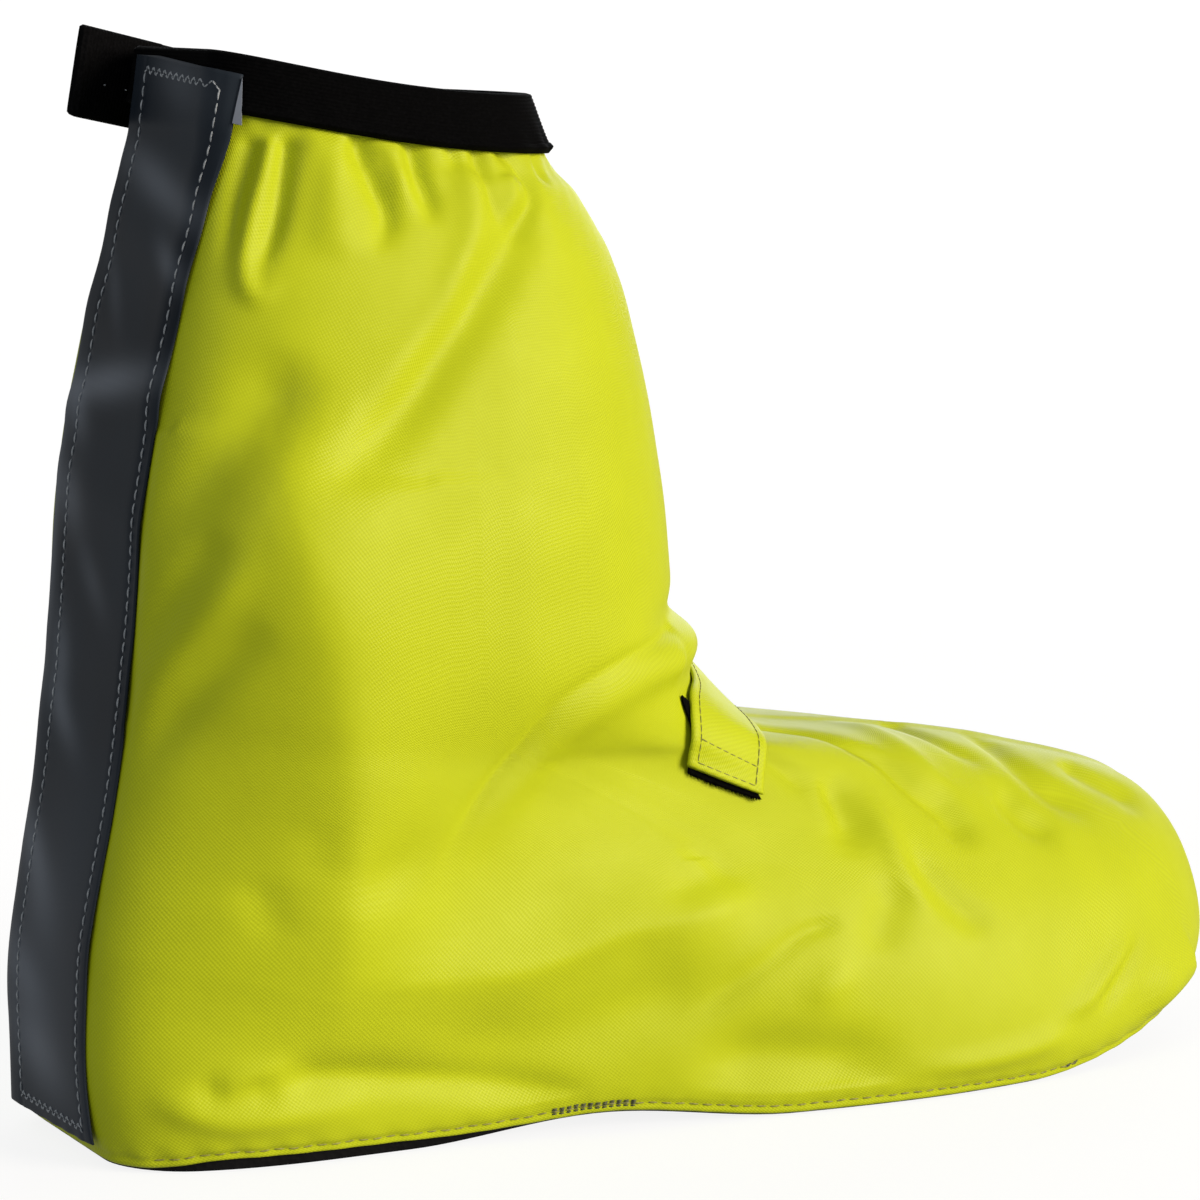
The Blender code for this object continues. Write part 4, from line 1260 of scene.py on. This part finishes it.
def patch_piece(tree, hook):
    """Hook-and-loop patch under the strap's free end."""
    points, ways = strap_grid(tree, PATCH_ROWS, PATCH_STATIONS, STRAP_ACROSS, False)
    centre = points + ways * PATCH_THICKNESS / 2
    piece = ribbon("strap_hook_and_loop", centre, ways, PATCH_THICKNESS, False, (hook,))
    finish_piece(piece, "black_hook", "strap_loop_patch")
    return centre, ways


def hook_fuzz(centre, ways, hook):
    """Loose hooks along the patch's free end, as one mesh of small cones."""
    end, before, out = centre[-1], centre[-3], ways[-1]
    points = []
    faces = []
    for _ in range(HOOKS):
        place = rng.uniform(0.0, len(end) - HOOK_INSET)
        k = int(place)
        base = end[k] + (end[k + 1] - end[k]) * (place - k)
        base = base + out[k] * PATCH_THICKNESS * rng.uniform(*HOOK_FOOT)
        way = unit(end[k] - before[k]) + out[k] * rng.uniform(*HOOK_LIFT) + rng.uniform(*HOOK_SCATTER, 3)
        way = unit(way)
        side = unit(np.cross(way, out[k])) * HOOK_RADIUS
        up = unit(np.cross(way, side)) * HOOK_RADIUS
        faces += [tuple(len(points) + corner for corner in corners) for corners in HOOK_SIDES]
        points += [base + side, base - 0.5 * side + up, base - 0.5 * side - up]
        points.append(base + way * rng.uniform(*HOOK_LENGTH))
    piece = make_mesh("hook_fuzz", points, faces, None, (hook,))
    face_out(piece)
    finish_piece(piece, "black_hook")


def stitches(name, runs, thread, slot):
    """Threads lying along runs of points and normals, joined into one piece."""
    pitch, share, radius, lift = STITCHES[name]
    points_out = []
    faces_out = []
    start = 0
    angles = np.linspace(0.0, 2 * np.pi, THREAD_SIDES, endpoint=False)[None, :, None]
    t = np.linspace(0.0, 1.0, THREAD_STATIONS)
    sizes = radius * (THREAD_END + (1.0 - THREAD_END) * np.sin(np.pi * t) ** 0.5)
    for run, normals in runs:
        lengths = lengths_along(run)
        count = max(1, int(lengths[-1] / pitch))
        step = lengths[-1] / count
        for begin in step * np.arange(count):
            places = begin + step * share * t
            line = points_at(places, lengths, run)
            out = unit(points_at(places, lengths, normals))
            line = line + out * (lift * np.sin(np.pi * t) - radius * THREAD_SINK)[:, None]
            ahead = unit(np.gradient(line, axis=0))
            side = unit(np.cross(ahead, out))
            ring = side[:, None] * np.cos(angles) + out[:, None] * np.sin(angles)
            tube = line[:, None] + ring * sizes[:, None, None]
            points_out.append(tube.reshape(-1, 3))
            quads, _ = grid_faces(THREAD_STATIONS, THREAD_SIDES, False, True)
            faces_out += (quads + start).tolist()
            faces_out.append([start + k for k in range(THREAD_SIDES)][::-1])
            last = start + (THREAD_STATIONS - 1) * THREAD_SIDES
            faces_out.append([last + k for k in range(THREAD_SIDES)])
            start += THREAD_STATIONS * THREAD_SIDES
    piece = make_mesh(name, np.vstack(points_out), faces_out, None, (thread,))
    face_out(piece)
    finish_piece(piece, slot)


def hem_run(skin, side, first_x, last_x, height):
    """A line at a height over the hem's edge, between two places along the foot."""
    count = skin.side_columns
    columns = np.arange(0, count + 1) if side == LATERAL else np.arange(2 * count - 1, count - 1, -1)
    points = []
    normals = []
    for column in columns:
        row = np.interp(height, skin.heights[:, column], np.arange(len(skin.levels)))
        low = int(row)
        part = row - low
        points.append(skin.points[low, column] * (1 - part) + skin.points[low + 1, column] * part)
        normals.append(skin.normals[low, column])
    points = np.array(points)
    normals = np.array(normals)
    keep = (points[:, 0] >= first_x) & (points[:, 0] <= last_x)
    return points[keep], normals[keep]


class Nodes:
    """Short hand for making a material's nodes."""

    def __init__(self, name):
        self.material = bpy.data.materials.new(name)
        self.material.use_nodes = True
        self.tree = self.material.node_tree

    def add(self, kind, inputs=None, **settings):
        """A node with settings by name, and inputs by name where a link or a value is given."""
        made = self.tree.nodes.new(kind)
        for key, value in settings.items():
            setattr(made, key, value)
        for key, value in (inputs or {}).items():
            self.put(made.inputs[key], value)
        return made

    def put(self, socket, value):
        """Links a socket, or sets its value. A colour may leave out its last value."""
        if isinstance(value, bpy.types.NodeSocket):
            self.tree.links.new(value, socket)
        elif socket.type == "RGBA":
            socket.default_value = (*value[:3], 1.0)
        else:
            socket.default_value = value

    def surface(self, inputs):
        """The finished material, with the inputs of its shader by name."""
        shader = self.tree.nodes["Principled BSDF"]
        for key, value in inputs.items():
            self.put(shader.inputs[key], value)
        return self.material

    def math(self, operation, first, second=0.0):
        """One operation on one or two values."""
        return self.add("ShaderNodeMath", {0: first, 1: second}, operation=operation).outputs[0]

    def mix(self, factor, first, second):
        """A colour between two colours."""
        return self.add("ShaderNodeMix", {0: factor, 6: first, 7: second}, data_type="RGBA").outputs[2]

    def noise(self, vector, scale, detail=3.0):
        """Cloudy values from 0 to 1."""
        inputs = {"Vector": vector, "Scale": scale, "Detail": detail}
        return self.add("ShaderNodeTexNoise", inputs).outputs["Fac"]

    def spread(self, value, low, high, new_low=0.0, new_high=1.0):
        """A value moved from one range to another."""
        ends = {"From Min": low, "From Max": high, "To Min": new_low, "To Max": new_high}
        return self.add("ShaderNodeMapRange", {"Value": value, **ends}).outputs["Result"]

    def cloth_map(self):
        """The piece's own map in millimetres, as two values."""
        uv = self.add("ShaderNodeUVMap", uv_map="cloth_mm").outputs["UV"]
        parts = self.add("ShaderNodeSeparateXYZ", {"Vector": uv}).outputs
        return parts["X"], parts["Y"]

    def place(self):
        """The place on the part, in metres."""
        return self.add("ShaderNodeTexCoord").outputs["Object"]

    def wave(self, value, length):
        """A sine along a value in millimetres."""
        return self.math("SINE", self.math("MULTIPLY", value, 2 * np.pi / length))

    def bump(self, height, depth, strength, under=None):
        """Surface relief of a depth in millimetres, on another relief if one is given."""
        inputs = {"Height": height, "Distance": depth * MM, "Strength": strength}
        if under is not None:
            inputs["Normal"] = under
        return self.add("ShaderNodeBump", inputs).outputs["Normal"]


def woven(name, colours, finish):
    """Coated woven fabric: crossing threads, slight unevenness of colour and a satin coat."""
    weave, depth, roughness, sheen = finish
    nodes = Nodes(name)
    u, v = nodes.cloth_map()
    crossing = [nodes.wave(nodes.math(way, u, v), weave) for way in ("ADD", "SUBTRACT")]
    threads = nodes.math("MULTIPLY", nodes.math("ADD", *crossing), 0.25)
    clouds = nodes.noise(nodes.place(), 60.0)
    patchy = nodes.spread(clouds, *NOISE_RANGE, 0.2, 0.45)
    shade = nodes.math("ADD", nodes.math("MULTIPLY", threads, 0.6), patchy)
    grain = nodes.noise(nodes.place(), 350.0)
    return nodes.surface({
        "Base Color": nodes.mix(shade, *colours),
        "Roughness": nodes.spread(clouds, *NOISE_RANGE, roughness - 0.04, roughness + 0.05),
        "Normal": nodes.bump(grain, 0.12, 0.35, nodes.bump(threads, depth, 1.0)),
        "Specular IOR Level": 0.14,
        "Sheen Weight": sheen,
        "Sheen Roughness": 0.45,
    })


def black_cloth(name, colours, finish):
    """Black yarn: fine grain with lighter fibres."""
    grain, roughness = finish
    nodes = Nodes(name)
    fibres = nodes.noise(nodes.place(), grain, 5.0)
    return nodes.surface({
        "Base Color": nodes.mix(nodes.spread(fibres, 0.4, 0.75), *colours),
        "Roughness": nodes.spread(fibres, *NOISE_RANGE, roughness - 0.08, roughness + 0.06),
        "Normal": nodes.bump(fibres, 0.15, 0.6),
        "Specular IOR Level": 0.03,
    })


def rubbered(name, colours):
    """Black reinforced panel with a fine pebble."""
    nodes = Nodes(name)
    place = nodes.place()
    pebble = nodes.add("ShaderNodeTexVoronoi", {"Vector": place, "Scale": 700.0}).outputs["Distance"]
    dust = nodes.noise(place, 40.0)
    return nodes.surface({
        "Base Color": nodes.mix(nodes.spread(dust, 0.4, 0.8), *colours),
        "Roughness": nodes.spread(dust, *NOISE_RANGE, 0.62, 0.8),
        "Normal": nodes.bump(pebble, 0.25, 0.7),
        "Specular IOR Level": 0.1,
    })


def reflective(name, colours):
    """Tape of fine glass beads on cloth, paler where sheen of reflected light is painted into its colour."""
    nodes = Nodes(name)
    place = nodes.place()
    beads = nodes.noise(place, 2600.0, 2.0)
    clouds = nodes.noise(place, 28.0, 4.0)
    # Broad clouds of paler grey: uneven tone of the tape and, in part, painted sheen
    plain = nodes.mix(nodes.spread(clouds, 0.35, 0.7), *colours)
    # The satin attribute is painted sheen: reflected light painted into the colour
    satin = nodes.add("ShaderNodeAttribute", attribute_name="satin").outputs["Fac"]
    return nodes.surface({
        "Base Color": nodes.mix(satin, plain, PAINTED_SHEEN_GREY),
        "Roughness": nodes.spread(clouds, *NOISE_RANGE, 0.34, 0.46),
        "Normal": nodes.bump(beads, 0.03, 0.5),
        "Specular IOR Level": 0.08,
    })


def twisted_thread(name, colours):
    """Twisted sewing thread."""
    nodes = Nodes(name)
    twist = nodes.noise(nodes.place(), 1500.0, 2.0)
    return nodes.surface({
        "Base Color": nodes.mix(nodes.spread(twist, 0.35, 0.65), *colours),
        "Roughness": 0.6,
        "Normal": nodes.bump(twist, 0.08, 0.5),
    })


def floor_paint():
    """Pale paint, bright by itself."""
    nodes = Nodes("floor_paint")
    return nodes.surface({
        "Base Color": nodes.mix(nodes.noise(nodes.place(), 3.0), *FLOOR_GREY),
        "Emission Color": WHITE,
        "Emission Strength": FLOOR_GLOW,
        "Roughness": 0.9,
        "Specular IOR Level": 0.1,
    })


def add_stage():
    """Plain pale floor that lights nothing itself."""
    mesh = bpy.data.meshes.new("floor")
    low = -FLOOR_GAP * MM
    corners = [(x * FLOOR_HALF, y * FLOOR_HALF, low) for x, y in ((-1, -1), (1, -1), (1, 1), (-1, 1))]
    mesh.from_pydata(corners, [], [(0, 1, 2, 3)])
    mesh.materials.append(floor_paint())
    floor = add_object("floor", mesh)
    floor.visible_diffuse = False
    floor.visible_glossy = False


def add_lights():
    """Soft light: a wide key from the camera's right, faint lights from its left and from behind the shoe."""
    scene = bpy.context.scene
    world = bpy.data.worlds.new("surround")
    world.use_nodes = True
    background = world.node_tree.nodes["Background"]
    background.inputs["Color"].default_value = WHITE
    background.inputs["Strength"].default_value = SURROUND
    scene.world = world
    for name, strength, colour, width, way in LIGHTS:
        light = bpy.data.lights.new(name, "SUN")
        light.energy = strength
        light.color = colour
        light.angle = np.radians(width)
        lamp = add_object(name, light)
        lamp.rotation_euler = Vector(way).to_track_quat("Z", "Y").to_euler()
    scene.view_settings.view_transform = "Standard"


def add_camera():
    """Camera at the photograph's angle."""
    turn, rise = np.radians(VIEW_TURN), np.radians(VIEW_RISE)
    back = Vector((-np.sin(turn) * np.cos(rise), -np.cos(turn) * np.cos(rise), np.sin(rise)))
    target = Vector([(value - start) * MM for value, start in zip(VIEW_TARGET, ORIGIN)])
    camera = bpy.data.cameras.new("camera")
    camera.lens = VIEW_LENS
    camera.sensor_width = VIEW_SENSOR
    camera.clip_end = VIEW_FAR
    holder = add_object("camera", camera)
    holder.location = target + back * VIEW_DISTANCE * MM
    holder.rotation_euler = back.to_track_quat("Z", "Y").to_euler()
    bpy.context.scene.camera = holder


def build():
    """All pieces, then the floor, the lights and the camera."""
    fabric = woven("yellow_coated_weave", YELLOW, FABRIC_FINISH)
    lining = woven("yellow_lining", LINING_YELLOW, LINING_FINISH)
    strap_cloth = woven("yellow_strap_cloth", YELLOW, FABRIC_FINISH)
    elastic = black_cloth("black_elastic_yarn", ELASTIC_BLACK, ELASTIC_FINISH)
    webbing = black_cloth("black_webbing_yarn", WEBBING_BLACK, WEBBING_FINISH)
    hook = black_cloth("black_hook_yarn", HOOK_BLACK, HOOK_FINISH)
    tape = reflective("grey_reflective_tape", TAPE_GREY)
    tape_back = reflective("grey_tape_back", TAPE_BACK_GREY)
    grey_thread = twisted_thread("grey_thread", GREY_THREAD)
    olive_thread = twisted_thread("olive_thread", OLIVE_THREAD)
    dark_thread = twisted_thread("dark_thread", DARK_THREAD)

    skin, tree = make_skin()
    upper_piece(skin, fabric, lining)
    sole_piece(rubbered("black_rubber", RUBBER_BLACK))
    band_piece(elastic)
    strip_piece(skin, tape)
    strap_top, strap_ways = strap_piece(tree, strap_cloth)
    patch, patch_ways = patch_piece(tree, hook)
    hook_fuzz(patch, patch_ways, hook)
    stitches("tab_marks", [tab_piece(webbing)], grey_thread, "black_webbing")

    hem = [hem_run(skin, side, *HEM_STITCH_SPAN, HEM_STITCH_HEIGHT) for side in (LATERAL, MEDIAL)]
    stitches("hem_stitches", hem, olive_thread, "yellow_fabric")
    tacks = [hem_run(skin, LATERAL, first, last, height)
             for first, last, heights in BAR_TACKS for height in heights]
    stitches("hem_bar_tack", tacks, dark_thread, "yellow_fabric")

    lines, zigzag = tape_stitch_runs(skin)
    stitches("tape_stitches", lines, grey_thread, "grey_tape")
    stitches("tape_zigzag", zigzag, grey_thread, "grey_tape")
    tape_corner(skin, tape_back)

    inner = slice(STRAP_SEAM_INSET, -STRAP_SEAM_INSET)
    columns = (STRAP_SEAM_INSET, -STRAP_SEAM_INSET - 1)
    seams = [(strap_top[inner, column], strap_ways[inner, column]) for column in columns]
    seams += [(strap_top[row, inner], strap_ways[row, inner]) for row in STRAP_SEAM_ROWS]
    stitches("strap_stitches", seams, olive_thread, "yellow_strap")

    add_stage()
    add_lights()
    add_camera()


build()
